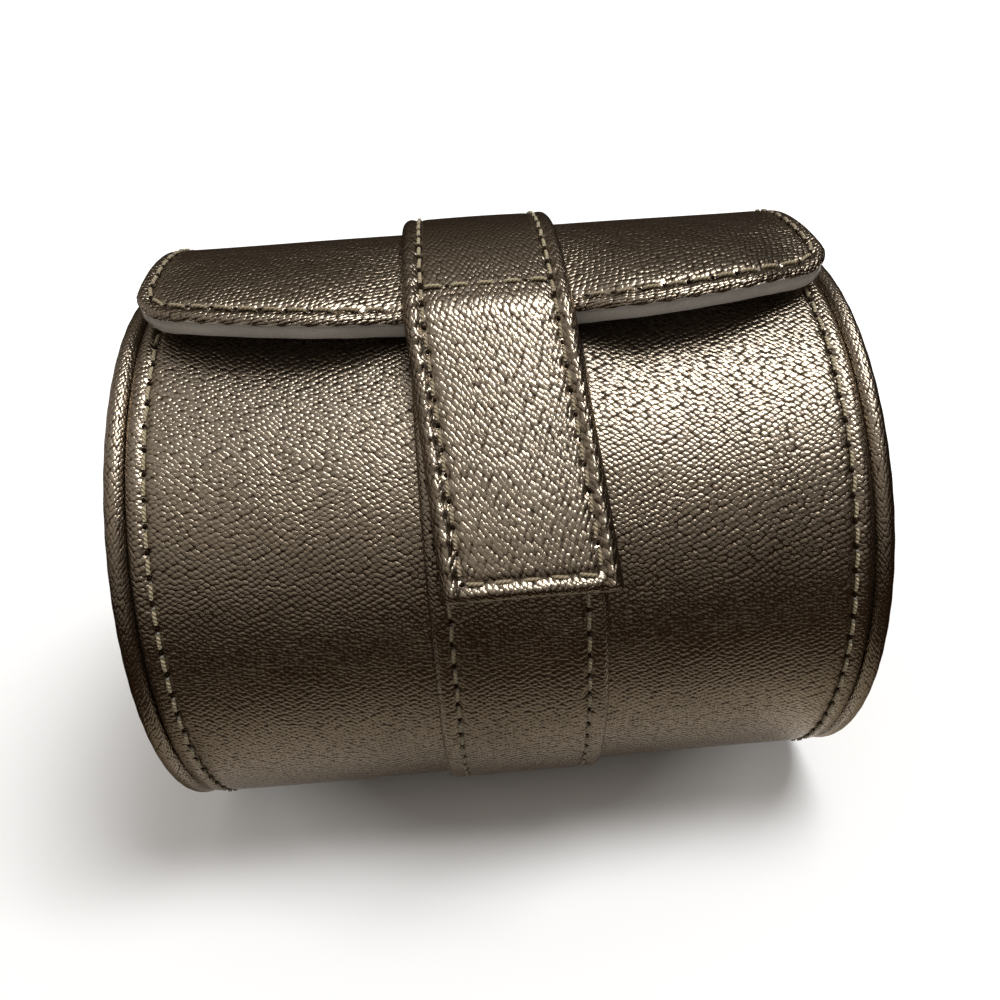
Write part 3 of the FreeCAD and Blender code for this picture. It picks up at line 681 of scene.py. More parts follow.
# The back is hollowed round the snap's ring, which sits in it.
snap_at = round_tube(np.array(SNAP_ANGLE), FREE_REACH)
from_snap = np.hypot(x - SNAP_X, np.linalg.norm(place - snap_at, axis=-1))
socket_room = 0.72 * np.clip((4.3 - from_snap) / 0.9, 0, 1)
outer = raised(x, place, out, top)
inner = raised(x, place, out, socket_room - height)
hide = over_border(np.stack([across, along], axis=-1), (2 - STRAP_HALF, 2),
                   (STRAP_HALF - 2, strap_total - 2), STRAP_THICK - height)
strap_leather = make_piece("strap_leather", *sheet_parts(outer, inner, hide))
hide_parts("flap_strap", "strap_cover", "strap_lining")


def blend_at_fold(piece):
    """Bake a piece's transform into its points. Nothing bends it at the fold."""
    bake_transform(piece)


blend_at_fold(strap_leather)


# %% [markdown]
# ## The snap
# Under the strap sits the ring half of a snap, and on the band its stud. Both are stamped from
# sheet brass, so their edges are all rounded over. A turned profile gives that directly, where a
# stack of cylinders with bevels would need more work for the same look.

# %% Snap ring and stud
SNAP_SIDES = 64


def rounded_profile(corners, radius, steps=5):
    """A profile whose inner corners are cut by small curves: points on a quadratic bend."""
    corners = np.asarray(corners, float)
    line = [corners[0]]
    for before, at, after in zip(corners[:-2], corners[1:-1], corners[2:]):
        back, on = before - at, after - at
        cut = min(radius, 0.45 * np.linalg.norm(back), 0.45 * np.linalg.norm(on))
        start, end = at + cut * back / np.linalg.norm(back), at + cut * on / np.linalg.norm(on)
        t = np.linspace(0, 1, steps)[:, None]
        line.extend((1 - t) ** 2 * start + 2 * t * (1 - t) * at + t ** 2 * end)
    return np.array(line + [corners[-1]])


def make_snap(name, corners, body, node):
    """A turned brass part on the snap's line, which leaves the tube at the snap's angle."""
    profile = rounded_profile(corners, 0.18)
    out = round_tube(np.array(SNAP_ANGLE), 1.0, 0.0)
    up = np.array([-out[1], out[0]])
    ring = profile[1:-1]
    angle = np.linspace(0, 2 * np.pi, SNAP_SIDES + 1)
    flat = np.stack([ring[:, 1:] * np.cos(angle), ring[:, 1:] * np.sin(angle)], axis=-1)

    def place(points):
        yz = [0, AXIS_HEIGHT] + points[:, :1] * out + points[:, 2:] * up
        return np.concatenate([SNAP_X + points[:, 1:2], yz], axis=1)

    piece = make_piece(name, *turned_parts(profile, SNAP_SIDES, place, flat))
    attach(piece, body)
    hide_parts(node)
    return piece


snap_ring = make_snap("snap_ring", [(40.15, 0), (40.1, 1.6), (40.05, 2.8), (39.35, 2.9), (39.15, 3.1),
                                    (39.12, 4.2), (39.3, 4.7), (39.9, 4.8), (40.3, 4.6), (40.35, 0)],
                      "strap", "snap_socket")
snap_stud = make_snap("snap_stud_face", [(38.5, 0), (38.5, 3.55), (38.95, 3.6), (39.05, 3.3),
                                         (38.95, 2.2), (39.0, 1.75), (39.45, 1.7), (39.55, 2.28),
                                         (39.85, 2.25), (40.08, 1.7), (40.02, 0)],
                      "case", "snap_stud")


# %% [markdown]
# ## The pillow
# The watch pillow is a roll of foam in short velvet, a little fatter in the middle and puckered at
# its ends. It could be a turned barrel, but stuffed cloth never keeps a clean profile, so a barrel
# that starts slightly small is remeshed evenly and blown up by a short cloth simulation, and how
# far each point may move is capped so that it still fits its place in the tube.

# %% Pillow
PILLOW_HEIGHT = 28.0
PILLOW_SIDES = 96
PILLOW_SHOULDER = 37.6
PILLOW_ROUNDING = 1.4


def pillow_start():
    """A barrel: radius falls slowly from the middle to the ends, then rounds over to flat ends."""
    heights = np.linspace(-PILLOW_SHOULDER, PILLOW_SHOULDER, 60)
    side = 22.5 - 0.9 * (heights / 38) ** 2
    turn = np.linspace(0, np.pi / 2, 6)[1:]
    round_x = PILLOW_SHOULDER + PILLOW_ROUNDING * np.sin(turn)
    round_r = side[-1] - PILLOW_ROUNDING * (1 - np.cos(turn))
    flat_r = np.linspace(round_r[-1], 1.0, 10)[1:]
    puckered = 39.0 - 0.5 * np.exp(-(flat_r / 7) ** 2)
    end = np.stack([np.concatenate([round_x, puckered]), np.concatenate([round_r, flat_r])], axis=-1)
    rings = np.concatenate([end[::-1] * MIRRORED, np.stack([heights, side], axis=-1), end])
    profile = np.concatenate([[[-38.5, 0]], rings, [[38.5, 0]]])
    flat = np.zeros((len(rings), PILLOW_SIDES + 1, 2))

    def place(points):
        return points + [0, 0, PILLOW_HEIGHT]

    return make_piece("pillow_velvet", *turned_parts(profile, PILLOW_SIDES, place, flat))


pillow = pillow_start()


# %% Stuffing
STUFFING_FRAMES = 20


def stuff(piece, voxel, cap):
    """Remesh a closed piece evenly, inflate it with cloth, and cap how far each point moves."""
    scene = bpy.context.scene
    remesh = piece.modifiers.new("even", "REMESH")
    remesh.mode = "VOXEL"
    remesh.voxel_size = voxel
    graph = bpy.context.evaluated_depsgraph_get()
    even = bpy.data.meshes.new_from_object(piece.evaluated_get(graph))
    piece.modifiers.clear()
    piece.data = even
    start = np.empty(len(even.vertices) * 3)
    even.vertices.foreach_get("co", start)
    cloth = piece.modifiers.new("stuffing", "CLOTH")
    cloth.settings.use_pressure = True
    cloth.settings.uniform_pressure_force = 4
    cloth.settings.effector_weights.gravity = 0
    for number in range(1, STUFFING_FRAMES + 1):
        scene.frame_set(number)
    moved = np.empty(len(start))
    evaluated = piece.evaluated_get(bpy.context.evaluated_depsgraph_get())
    evaluated.data.vertices.foreach_get("co", moved)
    scene.frame_set(1)
    piece.modifiers.clear()
    shift = (moved - start).reshape(-1, 3)
    far = np.linalg.norm(shift, axis=1, keepdims=True)
    shift = shift * np.minimum(1, cap / np.maximum(far, 1e-9))
    even.vertices.foreach_set("co", (start.reshape(-1, 3) + shift).ravel())
    even.update()
    print(f"{piece.name}: {len(even.vertices)} points, moved up to {1000 * far.max():.1f} mm")


stuff(pillow, 0.0022, 0.0010)
smooth = pillow.modifiers.new("smooth", "SUBSURF")
smooth.levels = 1
smooth.render_levels = 1
pillow.data.shade_smooth()
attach(pillow, "pillow")
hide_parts("pillow_cover", "pillow_foam", "pillow_left_end", "pillow_right_end")


# %% [markdown]
# ## The stitching
# About four hundred stitches hold the case together. They could be a dashed line in the leather's
# colour, but real thread stands up from the hide, catches the light and dives into its holes. So
# each stitch is a short bent capsule of a few dozen faces, and all the stitches of one seam are
# worked out together as one array: for every stitch a centre, a direction and an outward side.

# %% Places for stitches
def stitch_middles(first, last):
    """Middles of stitches about a pitch apart, between two places."""
    count = max(1, round((last - first) / PITCH))
    return first + (np.arange(count) + 0.5) * (last - first) / count


def no_lean(place):
    """The sideways shift of a straight strip: none anywhere."""
    return 0 * place[:, 0]


def seam_line(path, x, first, last, lift, shift=no_lean):
    """Centres, directions and outward sides of stitches along a path at a constant x."""
    at = stitch_middles(first, last)
    place, out = on_path(path, at)
    before = on_path(path, at - 0.5)[0]
    after = on_path(path, at + 0.5)[0]
    centre = raised(x + shift(place), place, out, lift)
    along = np.column_stack([shift(after) - shift(before), after - before])
    return centre, along, np.column_stack([0 * at, out])


def cross_line(path, at, half, lift, shift=0.0):
    """The same for a row of stitches across a strip, at one distance along its path."""
    x = stitch_middles(-half, half)
    place, out = on_path(path, np.full(len(x), at))
    along = np.tile([1.0, 0.0, 0.0], (len(x), 1))
    return raised(x + shift, place, out, lift), along, np.column_stack([0 * x, out])


print("stitches along each side of the strap:", len(stitch_middles(*strap_ends)))


# %% Stitches and needle holes
STITCH_SIDES = 6
HOLE_SIDES = 8


def needle_holes(centre, along, side, out):
    """Flat lens shapes at needle holes, which carry their painted shade: a ring of points round an
    upper and a lower middle.
    """
    turn = np.linspace(0, 2 * np.pi, HOLE_SIDES, endpoint=False)[:, None]
    ring = 0.30 * np.cos(turn) * along[:, None] + 0.26 * np.sin(turn) * side[:, None]
    ring = centre[:, None] + ring - 0.08 * out[:, None]
    points = np.concatenate([ring.reshape(-1, 3), centre - 0.03 * out, centre - 0.3 * out])
    hole = np.arange(len(centre))[:, None]
    here = hole * HOLE_SIDES + np.arange(HOLE_SIDES)
    following = hole * HOLE_SIDES + np.roll(np.arange(HOLE_SIDES), -1)
    parts = []
    for level, order in ((0, 1), (1, -1)):
        tip = np.broadcast_to(len(centre) * (HOLE_SIDES + level) + hole, here.shape)
        fan = np.stack([tip, here, following], axis=-1).reshape(-1, 3)[:, ::order]
        parts.append((fan, np.zeros((len(fan), 3, 2))))
    return points, parts


def sew(name, seams, length=2.6, width=0.24, rise=0.12):
    """One mesh of stitches. Along each, height follows 1 - t^4 and dips under the hide at both ends,
    and the thread narrows a little towards its holes. A small dark disc at the start of each stitch
    is painted shade for its needle hole."""
    centre, along, out = (np.concatenate(group) for group in zip(*seams))
    along = along / np.linalg.norm(along, axis=1, keepdims=True)
    side = np.cross(along, out)
    seed = np.random.default_rng(len(centre))
    tilt = seed.normal(0, 0.035, len(centre))[:, None]
    along = along + side * (0.05 + tilt)
    t = np.linspace(-1, 1, 9)
    tall = rise - 0.62 * t ** 4
    fat = width * (1 - 0.35 * t ** 6)
    turn = np.linspace(0, 2 * np.pi, STITCH_SIDES, endpoint=False)
    line = (centre[:, None] + along[:, None] * (t * length / 2)[None, :, None]
            + out[:, None] * tall[None, :, None])
    around = (side[:, None, None] * np.cos(turn)[:, None] + out[:, None, None] * np.sin(turn)[:, None])
    rings = line[:, 1:-1, None] + around * fat[1:-1][None, :, None, None]
    count, lines = rings.shape[:2]
    index = np.arange(count * lines * STITCH_SIDES).reshape(count, lines, STITCH_SIDES)
    index = np.concatenate([index, index[..., :1]], axis=-1)
    run = np.broadcast_to((t[1:-1] * length / 2)[None, :, None], index.shape)
    turned = np.arange(STITCH_SIDES + 1) * 2 * np.pi * width / STITCH_SIDES
    flat = np.stack([run, np.broadcast_to(turned, index.shape)], axis=-1)
    points = np.concatenate([rings.reshape(-1, 3), line[:, 0], line[:, -1]])
    parts = [(*grid_faces(index, flat), 0)]
    for end, row, order in ((0, 0, -1), (1, -1, 1)):
        tip = np.repeat(count * (lines * STITCH_SIDES + end) + np.arange(count), STITCH_SIDES)
        fan = np.stack([tip, index[:, row, :-1].ravel(), index[:, row, 1:].ravel()], axis=-1)
        parts.append((fan[:, ::order], np.zeros((len(fan), 3, 2)), 0))
    # Dark discs at the needle holes: painted shade.
    holes, hole_parts = needle_holes(centre - along * PITCH / 2, along, side, out)
    parts += [(faces + len(points), flat, 1) for faces, flat in hole_parts]
    return make_piece(name, np.concatenate([points, holes]), parts)


# %% Seams on the case
BAND_THREAD_CLEAR = 0.45
edge_thread = sew("edge_thread", [seam_line(body_path, x, *body_ends, COVER - 0.10)
                                  for x in BODY_SEAMS])
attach(edge_thread, "case")
band_seams = [seam_line(band_path, x, *band_ends, COVER - 0.12) for x in BAND_SEAMS]
band_thread = sew("band_thread", [(on_table(centre, BAND_THREAD_CLEAR), *sides)
                                  for centre, *sides in band_seams])
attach(band_thread, "case")


# %% Seams on the strap
inside = STRAP_HALF - STRAP_SEAM
strap_run = strap_ends[1] - strap_ends[0]
strap_pitch = strap_run / round(strap_run / PITCH)
turn_over = strap_ends[0] + strap_pitch * round((box_at - strap_ends[0]) / strap_pitch)
box_seams = [seam_line(strap_path, x, strap_ends[0], turn_over, STRAP_THICK + 0.02, strap_lean)
             for x in (-inside, inside)]
strap_seams = [seam_line(strap_path, x, turn_over, strap_ends[1], STRAP_THICK - 0.08, strap_lean)
               for x in (-inside, inside)]
end_at = strap_total - END_SEAM
end_lean = float(strap_lean(on_path(strap_path, np.array([end_at]))[0])[0])
strap_seams += [cross_line(strap_path, end_at, inside, STRAP_THICK + 0.10, end_lean)]
strap_thread = sew("strap_thread", strap_seams)
blend_at_fold(strap_thread)
box_seams += [cross_line(strap_path, box_at, inside, STRAP_THICK + 0.34),
              cross_line(strap_path, 2.0, inside, STRAP_THICK + 0.05)]
box_thread = sew("box_thread", box_seams, length=2.75)
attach(box_thread, "flap")


# %% Seam round the flap
share = stitch_middles(0, seam_total) / seam_total
middle = evenly(seam_ring, share)
step = evenly(seam_ring, share + 0.002) - evenly(seam_ring, share - 0.002)
clear = np.abs(middle[:, 0]) > STRAP_HALF + 0.5
middle, step = middle[clear], step[clear]
gape = flap_lift(middle)
place, out = on_path(flap_path, SAG_ROOM + middle[:, 1] - gape)
tangent = np.stack([out[:, 1], -out[:, 0]], axis=-1)
centre = raised(flared(middle), place, out, gape - 0.12)
direction = np.column_stack([step[:, 0], tangent * step[:, 1:]])
flap_seam = (centre, direction, np.column_stack([0 * step[:, 0], out]))
flap_thread = sew("flap_thread", [flap_seam], length=2.75)
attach(flap_thread, "flap")


# %% [markdown]
# ## Colours and nodes
# Colours are picked as they look on a screen, but the renderer works with light, so one function
# turns a screen colour into a linear one. One more function adds a node, sets what the caller names
# and links the rest, which keeps each material below short enough to read as a recipe.

# %% Helpers for materials
def colour(code):
    """Linear colour of a screen colour: (c + 0.055) / 1.055 to the power 2.4 above the toe."""
    screen = [int(code[k:k + 2], 16) / 255 for k in (1, 3, 5)]
    return tuple(c / 12.92 if c <= 0.04045 else ((c + 0.055) / 1.055) ** 2.4 for c in screen) + (1.0,)


def add(tree, kind, inputs, output=0, **settings):
    """Add a node and give one of its outputs. Settings go on the node, and inputs, by name or
    number, get a value or the output of another node."""
    node = tree.nodes.new("ShaderNode" + kind)
    for name, value in settings.items():
        setattr(node, name, value)
    for name, value in inputs.items():
        if isinstance(value, bpy.types.NodeSocket):
            tree.links.new(value, node.inputs[name])
        else:
            node.inputs[name].default_value = value
    return node.outputs[output] if node.outputs else node


def new_material(name):
    """A material with no nodes yet, and its node tree."""
    made = bpy.data.materials.new(name)
    made.use_nodes = True
    made.node_tree.nodes.clear()
    return made, made.node_tree


print("linear colour of a middle grey:", colour("#808080"))


# %% [markdown]
# ## Metallic leather
# The real one is split leather with a bronze foil, pressed hot between engraved rollers. The foil
# is a metal film under a thin clear coat. The engraving makes round beads about 0.6 mm long, in
# rows 0.7 mm apart that climb across the hide like a twill. A Voronoi pattern with half its usual
# disorder gives the beads, round because their height falls with the distance from their middle,
# and a wave across the rows gives the creases between rows. The foil is duller in the creases than
# on the beads, and its colour is painted darker there: painted shade in the creases.

# %% Metallic leather
WANDER_EVERY = 8.33
WANDER_BY = 1.8
TONE_PATCH = 11.1
FINE_GRAIN = 0.5


def foil_grain(tree, hide, row_angle, length, width, twill):
    """Height of the embossing. The rows run at an angle across the hide and wander a little. Every
    row starts half a bead after the one before. A bead is 1 - 3.4 d^2.6 high at a distance d from
    its middle, and the root of a raised cosine across the rows takes the share twill."""
    drift = add(tree, "TexNoise", {"Vector": hide, "Scale": 1 / WANDER_EVERY, "Detail": 1.5}, "Color")
    bend = add(tree, "VectorMath", {0: drift, 1: (0.5, 0.5, 0.5)}, operation="SUBTRACT")
    bend = add(tree, "VectorMath", {0: bend, "Scale": WANDER_BY}, operation="SCALE")
    wandering = add(tree, "VectorMath", {0: hide, 1: bend}, operation="ADD")
    rows = add(tree, "Mapping", {"Vector": wandering, "Rotation": (0, 0, math.radians(row_angle)),
                                 "Scale": (length, width, 1.0)}, vector_type="TEXTURE")
    along_row = add(tree, "SeparateXYZ", {0: rows}, "X")
    row = add(tree, "SeparateXYZ", {0: rows}, "Y")
    stagger = add(tree, "Math", {0: row, 1: 0.5, 2: along_row}, operation="MULTIPLY_ADD")
    beads = add(tree, "CombineXYZ", {"X": stagger, "Y": row})
    away = add(tree, "TexVoronoi", {"Vector": beads, "Scale": 1.0, "Randomness": 0.50}, "Distance",
               voronoi_dimensions="2D")
    fall = add(tree, "Math", {0: away, 1: 2.6}, operation="POWER")
    dome = add(tree, "Math", {0: fall, 1: -3.4, 2: 1.0}, operation="MULTIPLY_ADD")
    turn = add(tree, "Math", {0: row, 1: 2 * math.pi}, operation="MULTIPLY")
    wave = add(tree, "Math", {0: turn}, operation="COSINE")
    wave = add(tree, "Math", {0: wave, 1: 0.5, 2: 0.5}, operation="MULTIPLY_ADD")
    rib = add(tree, "Math", {0: wave, 1: 0.5}, operation="POWER")
    dome = add(tree, "Math", {0: dome, 1: 1 - twill}, operation="MULTIPLY")
    return add(tree, "Math", {0: rib, 1: twill, 2: dome}, operation="MULTIPLY_ADD")


def metallic_leather(name, row_angle, length, width, depth, twill):
    """Embossed foil leather. A mask follows the grain: in the creases the foil is duller and its colour
    is painted darker as painted shade, on the beads it is pale and smooth. Length, width and depth
    are one bead's, depth in metres."""
    made, tree = new_material(name)
    hide = add(tree, "UVMap", {}, uv_map="hide")
    grain = foil_grain(tree, hide, row_angle, length, width, twill)
    fine = add(tree, "TexNoise", {"Vector": hide, "Scale": 1 / FINE_GRAIN, "Detail": 4.0})
    relief = add(tree, "Math", {0: fine, 1: 0.6, 2: grain}, operation="MULTIPLY_ADD")
    normal = add(tree, "Bump", {"Height": relief, "Distance": depth, "Strength": 1.0})
    slow = add(tree, "TexNoise", {"Vector": hide, "Scale": 1 / TONE_PATCH, "Detail": 3.0})
    foil = add(tree, "Mix", {0: slow, 6: colour("#807464"), 7: colour("#968977")}, 2, data_type="RGBA")
    # Painted shade: the creases get a darker colour as well as a rougher foil.
    crease_shade_and_gloss_mask = add(tree, "MapRange", {"Value": grain, 1: 0.05, 2: 0.40}, interpolation_type="SMOOTHSTEP")
    foil_with_painted_crease_shade = add(tree, "Mix", {0: crease_shade_and_gloss_mask, 6: colour("#4f3f2c"), 7: foil}, 2, data_type="RGBA")
    dull = add(tree, "MapRange", {"Value": crease_shade_and_gloss_mask, 3: 0.40, 4: 0.26})
    coated = {"Coat Weight": 0.8, "Coat Roughness": 0.3, "Coat Normal": normal}
    shader = add(tree, "BsdfPrincipled",
                 {"Base Color": foil_with_painted_crease_shade, "Metallic": 1.0, "Roughness": dull, "Normal": normal,
                  "Specular Tint": colour("#bcaa95"), **coated})
    add(tree, "OutputMaterial", {"Surface": shader})
    return made


body_hide = metallic_leather("bronze_foil_leather", 24, 0.60, 0.68, 0.000085, 0.24)
flap_hide = metallic_leather("bronze_foil_leather_flap", 78, 0.68, 0.68, 0.00010, 0.15)
strap_hide = metallic_leather("bronze_foil_leather_strap", -66, 0.68, 0.68, 0.000085, 0.26)
cap_hide = metallic_leather("bronze_foil_leather_cap", 24, 0.50, 0.50, 0.00005, 0.06)
print("leather materials:", body_hide.name, flap_hide.name, strap_hide.name, cap_hide.name)


# %% [markdown]
# ## Cloth, board, thread and metal
# The linings are microsuede, the strap's back is plain coated split, and the stiffeners are grey
# board. Suede and velvet have no gloss but a faint light edge from their standing fibres, which a
# sheen layer gives. Thread is three-ply polyester with a soft sheen, and the snaps are brass that
# has been darkened and rubbed.

# %% Soft and plain materials
def soft_cloth(name, dark, light, fibre, mottle, depth, sheen):
    """Napped cloth, or board and split leather when it has no sheen: fibres as fine relief, and two
    tones mixed by 0.6 of a slow noise and 0.4 of the fibres. Fibre and mottle are their sizes in
    mm, and a scale is how many fit in a metre. Real fibres are about ten times finer: these are
    drawn as coarse as they need to show."""
    made, tree = new_material(name)
    place = add(tree, "TexCoord", {}, "Object")
    slow = add(tree, "TexNoise", {"Vector": place, "Scale": 1000 / mottle, "Detail": 4.0})
    fibres = add(tree, "TexNoise", {"Vector": place, "Scale": 1000 / fibre, "Detail": 2.0})
    both = add(tree, "Math", {0: slow, 1: 0.6}, operation="MULTIPLY")
    both = add(tree, "Math", {0: fibres, 1: 0.4, 2: both}, operation="MULTIPLY_ADD")
    tone = add(tree, "MapRange", {"Value": both, 1: 0.3, 2: 0.7})
    cloth = add(tree, "Mix", {0: tone, 6: colour(dark), 7: colour(light)}, 2, data_type="RGBA")
    normal = add(tree, "Bump", {"Height": fibres, "Distance": depth, "Strength": 0.6})
    shader = add(tree, "BsdfPrincipled", {"Base Color": cloth, "Roughness": 0.92, "Normal": normal,
                                          "Specular IOR Level": 0.2, "Sheen Weight": sheen,
                                          "Sheen Roughness": 0.4})
    add(tree, "OutputMaterial", {"Surface": shader})
    return made


suede = soft_cloth("grey_microsuede", "#b8b2aa", "#d4cec5", 0.385, 6.25, 0.00012, 0.25)
velvet = soft_cloth("grey_velvet", "#9b948c", "#b1aaa2", 0.263, 11.1, 0.00020, 0.6)
board = soft_cloth("pressed_greyboard", "#7c766e", "#918b82", 0.667, 3.33, 0.00005, 0.0)
foam = soft_cloth("open_foam", "#cfc8b8", "#e2dccd", 1.11, 5.0, 0.00040, 0.0)
backing = soft_cloth("plain_split_backing", "#2f261e", "#41362b", 0.714, 8.33, 0.00010, 0.05)
print("soft materials:", suede.name, velvet.name, board.name, foam.name, backing.name)


# %% Thread and needle holes
PLY_EVERY = 0.419
WAVES_PER_SCALE = 20 / (2 * math.pi)


def thread_material(name, dark, light):
    """Polyester thread: the slanted ply ridges are a wave along the thread's own map, and the same
    wave paints the grooves between them darker as painted shade. A wave texture has 20 / (2 pi)
    waves in one unit at scale 1."""
    made, tree = new_material(name)
    run = add(tree, "UVMap", {}, uv_map="hide")
    slant = add(tree, "Mapping", {"Vector": run, "Rotation": (0, 0, math.radians(35))})
    ply_height_and_painted_shade = add(tree, "TexWave", {"Vector": slant, "Scale": 1 / (PLY_EVERY * WAVES_PER_SCALE)}, "Fac")
    # Painted shade: the grooves between the ply ridges are painted darker.
    yarn = add(tree, "Mix", {0: ply_height_and_painted_shade, 6: colour(dark), 7: colour(light)}, 2, data_type="RGBA")
    normal = add(tree, "Bump", {"Height": ply_height_and_painted_shade, "Distance": 0.00012, "Strength": 0.8})
    shader = add(tree, "BsdfPrincipled", {"Base Color": yarn, "Roughness": 0.55, "Sheen Weight": 0.2,
                                          "Normal": normal})
    add(tree, "OutputMaterial", {"Surface": shader})
    return made


def needle_hole_shade_material():
    """Painted shade for a needle hole: nearly black brown with no gloss, where the hole holds only
    shade.
    """
    made, tree = new_material("needle_hole_painted_shade")
    shader = add(tree, "BsdfPrincipled", {"Base Color": colour("#241a11"), "Roughness": 1.0,
                                          "Specular IOR Level": 0.0})
    add(tree, "OutputMaterial", {"Surface": shader})
    return made


cream_thread = thread_material("cream_thread", "#85785d", "#bcaf8d")
bronze_thread = thread_material("bronze_thread", "#76684f", "#ac9d7e")
# The hole discs are painted shade, dark where a needle hole is only shade.
hole = needle_hole_shade_material()
print("thread and hole:", cream_thread.name, bronze_thread.name, hole.name)


# %% Brass
RUBBED_PATCH = 1.43


def brass_material():
    """Darkened brass, rubbed bright in patches: slow noise moves colour and roughness together."""
    made, tree = new_material("antique_brass")
    place = add(tree, "TexCoord", {}, "Object")
    rub = add(tree, "TexNoise", {"Vector": place, "Scale": 1000 / RUBBED_PATCH, "Detail": 4.0})
    tone = add(tree, "MapRange", {"Value": rub, 1: 0.35, 2: 0.65})
    metal = add(tree, "Mix", {0: tone, 6: colour("#8a734b"), 7: colour("#b59a69")}, 2, data_type="RGBA")
    dull = add(tree, "MapRange", {"Value": tone, 3: 0.45, 4: 0.28})
    normal = add(tree, "Bump", {"Height": rub, "Distance": 0.00002, "Strength": 0.4})
    shader = add(tree, "BsdfPrincipled", {"Base Color": metal, "Metallic": 1.0, "Roughness": dull,
                                          "Normal": normal})
    add(tree, "OutputMaterial", {"Surface": shader})
    return made


brass = brass_material()
print("brass:", brass.name)


# %% Give every piece its material
def dress(piece, *materials):
    """Put materials in a piece's slots, in order. A new piece has none yet, and clearing its list
    would also forget which face belongs to which slot."""
    if piece.data.materials:
        piece.data.materials.clear()
    for made in materials:
        piece.data.materials.append(made)


dress(tube_leather, body_hide, suede)
dress(band_leather, body_hide, suede)
dress(flap_leather, flap_hide, suede)
dress(strap_leather, strap_hide, backing)
dress(flap_lining, suede)
dress(pillow, velvet)
for piece in caps:
    dress(piece, cap_hide)
for piece in (snap_ring, snap_stud):
    dress(piece, brass)
for piece, yarn in ((edge_thread, cream_thread), (band_thread, bronze_thread),
                    (strap_thread, bronze_thread), (box_thread, cream_thread),
                    (flap_thread, bronze_thread)):
    dress(piece, yarn, hole)
for_slot = {"metallic_leather": body_hide, "suede_lining": suede, "strap_backing": backing,
            "greyboard": board, "snap_metal": brass, "pillow_foam": foam, "pillow_velvet": velvet}
for part in record["subparts"]:
    dress(nodes[part["node"]], for_slot[part["material_slot"]])
print("dressed", len(nodes), "solids")


# %% [markdown]
# ## Floor and backdrop
# The case stands on a sheet of white paper that curves up behind it. To the camera and in
# reflections the paper has a white of its own away from the case, and close to the case only real
# light on a pale surface, so it still takes a soft shadow. Because that white fades towards the
# case, the floor round the case is also painted darker: painted shade over the real shadow. For
# bounced light the paper is darker, which keeps the underside of the case dark. Dark cards lie all
# round on the floor and stand behind the case and on its right, as on a photographer's table. Only
# the foil mirrors them: they are the dark stripe low on the tube and the dark sides of the rims.

# %% Paper sweep
def make_sweep():
    """A floor that bends up into a wall: a line of (y, z) carried along x, in mm."""
    bend = np.radians(np.linspace(0, 90, 17))
    curve = np.stack([1100 + 400 * np.sin(bend), 400 - 400 * np.cos(bend)], axis=-1)
    line = np.concatenate([[(-2500, 0), (0, 0)], curve, [(1500, 700)]])
    x = np.linspace(-3000, 3000, 3)
    grid = np.stack(np.broadcast_arrays(x[:, None], line[None, :, 0], line[None, :, 1]), axis=-1)
    index = np.arange(grid.shape[0] * grid.shape[1]).reshape(grid.shape[:2])
    faces = grid_faces(index, grid[..., :2])[0]
    mesh = bare_mesh("paper_sweep", grid.reshape(-1, 3), faces.tolist())
    mesh.shade_smooth()
    return link_object("paper_sweep", mesh)


def paper_material():
    """Pale matt paper, darker for bounced light, plus its own white for camera, mirror and glass
    rays. That white grows with the distance from the middle of the case and is nearly gone
    close to it, where the real shadow shows and the missing white darkens the floor as painted shade."""
    made, tree = new_material("white_paper")
    seen = 0.0
    for ray in ("Is Camera Ray", "Is Glossy Ray", "Is Transmission Ray"):
        seen = add(tree, "Math", {0: add(tree, "LightPath", {}, ray), 1: seen}, operation="ADD")
    seen = add(tree, "Math", {0: seen, 1: 1.0}, operation="MINIMUM")
    place = add(tree, "TexCoord", {}, "Object")
    away = add(tree, "VectorMath", {0: place}, "Value", operation="LENGTH")
    white = add(tree, "MapRange", {"Value": away, 1: 0.05, 2: 0.45, 3: 0.13, 4: 0.82})
    # Painted shade: the white falls to 0.13 within 50 mm of the case and to a tenth of that within 27
    # mm, darkening the floor round it.
    clear = add(tree, "MapRange", {"Value": away, 1: 0.027, 2: 0.041, 3: 0.1})
    white = add(tree, "Math", {0: white, 1: clear}, operation="MULTIPLY")
    paper_white_with_painted_shade = add(tree, "Math", {0: seen, 1: white}, operation="MULTIPLY")
    pale = add(tree, "Mix", {0: seen, 6: colour("#959595"), 7: colour("#e7e7e7")}, 2, data_type="RGBA")
    matt = add(tree, "BsdfDiffuse", {"Color": pale})
    light = add(tree, "Emission", {"Color": colour("#ffffff"), "Strength": paper_white_with_painted_shade})
    add(tree, "OutputMaterial", {"Surface": add(tree, "AddShader", {0: matt, 1: light})})
    return made


sweep = make_sweep()
dress(sweep, paper_material())
print("paper:", len(sweep.data.polygons), "faces")


# %% Dark cards
CARD_REACH = 900
CARD_HEIGHT = 450
CARD_LIFT = 2


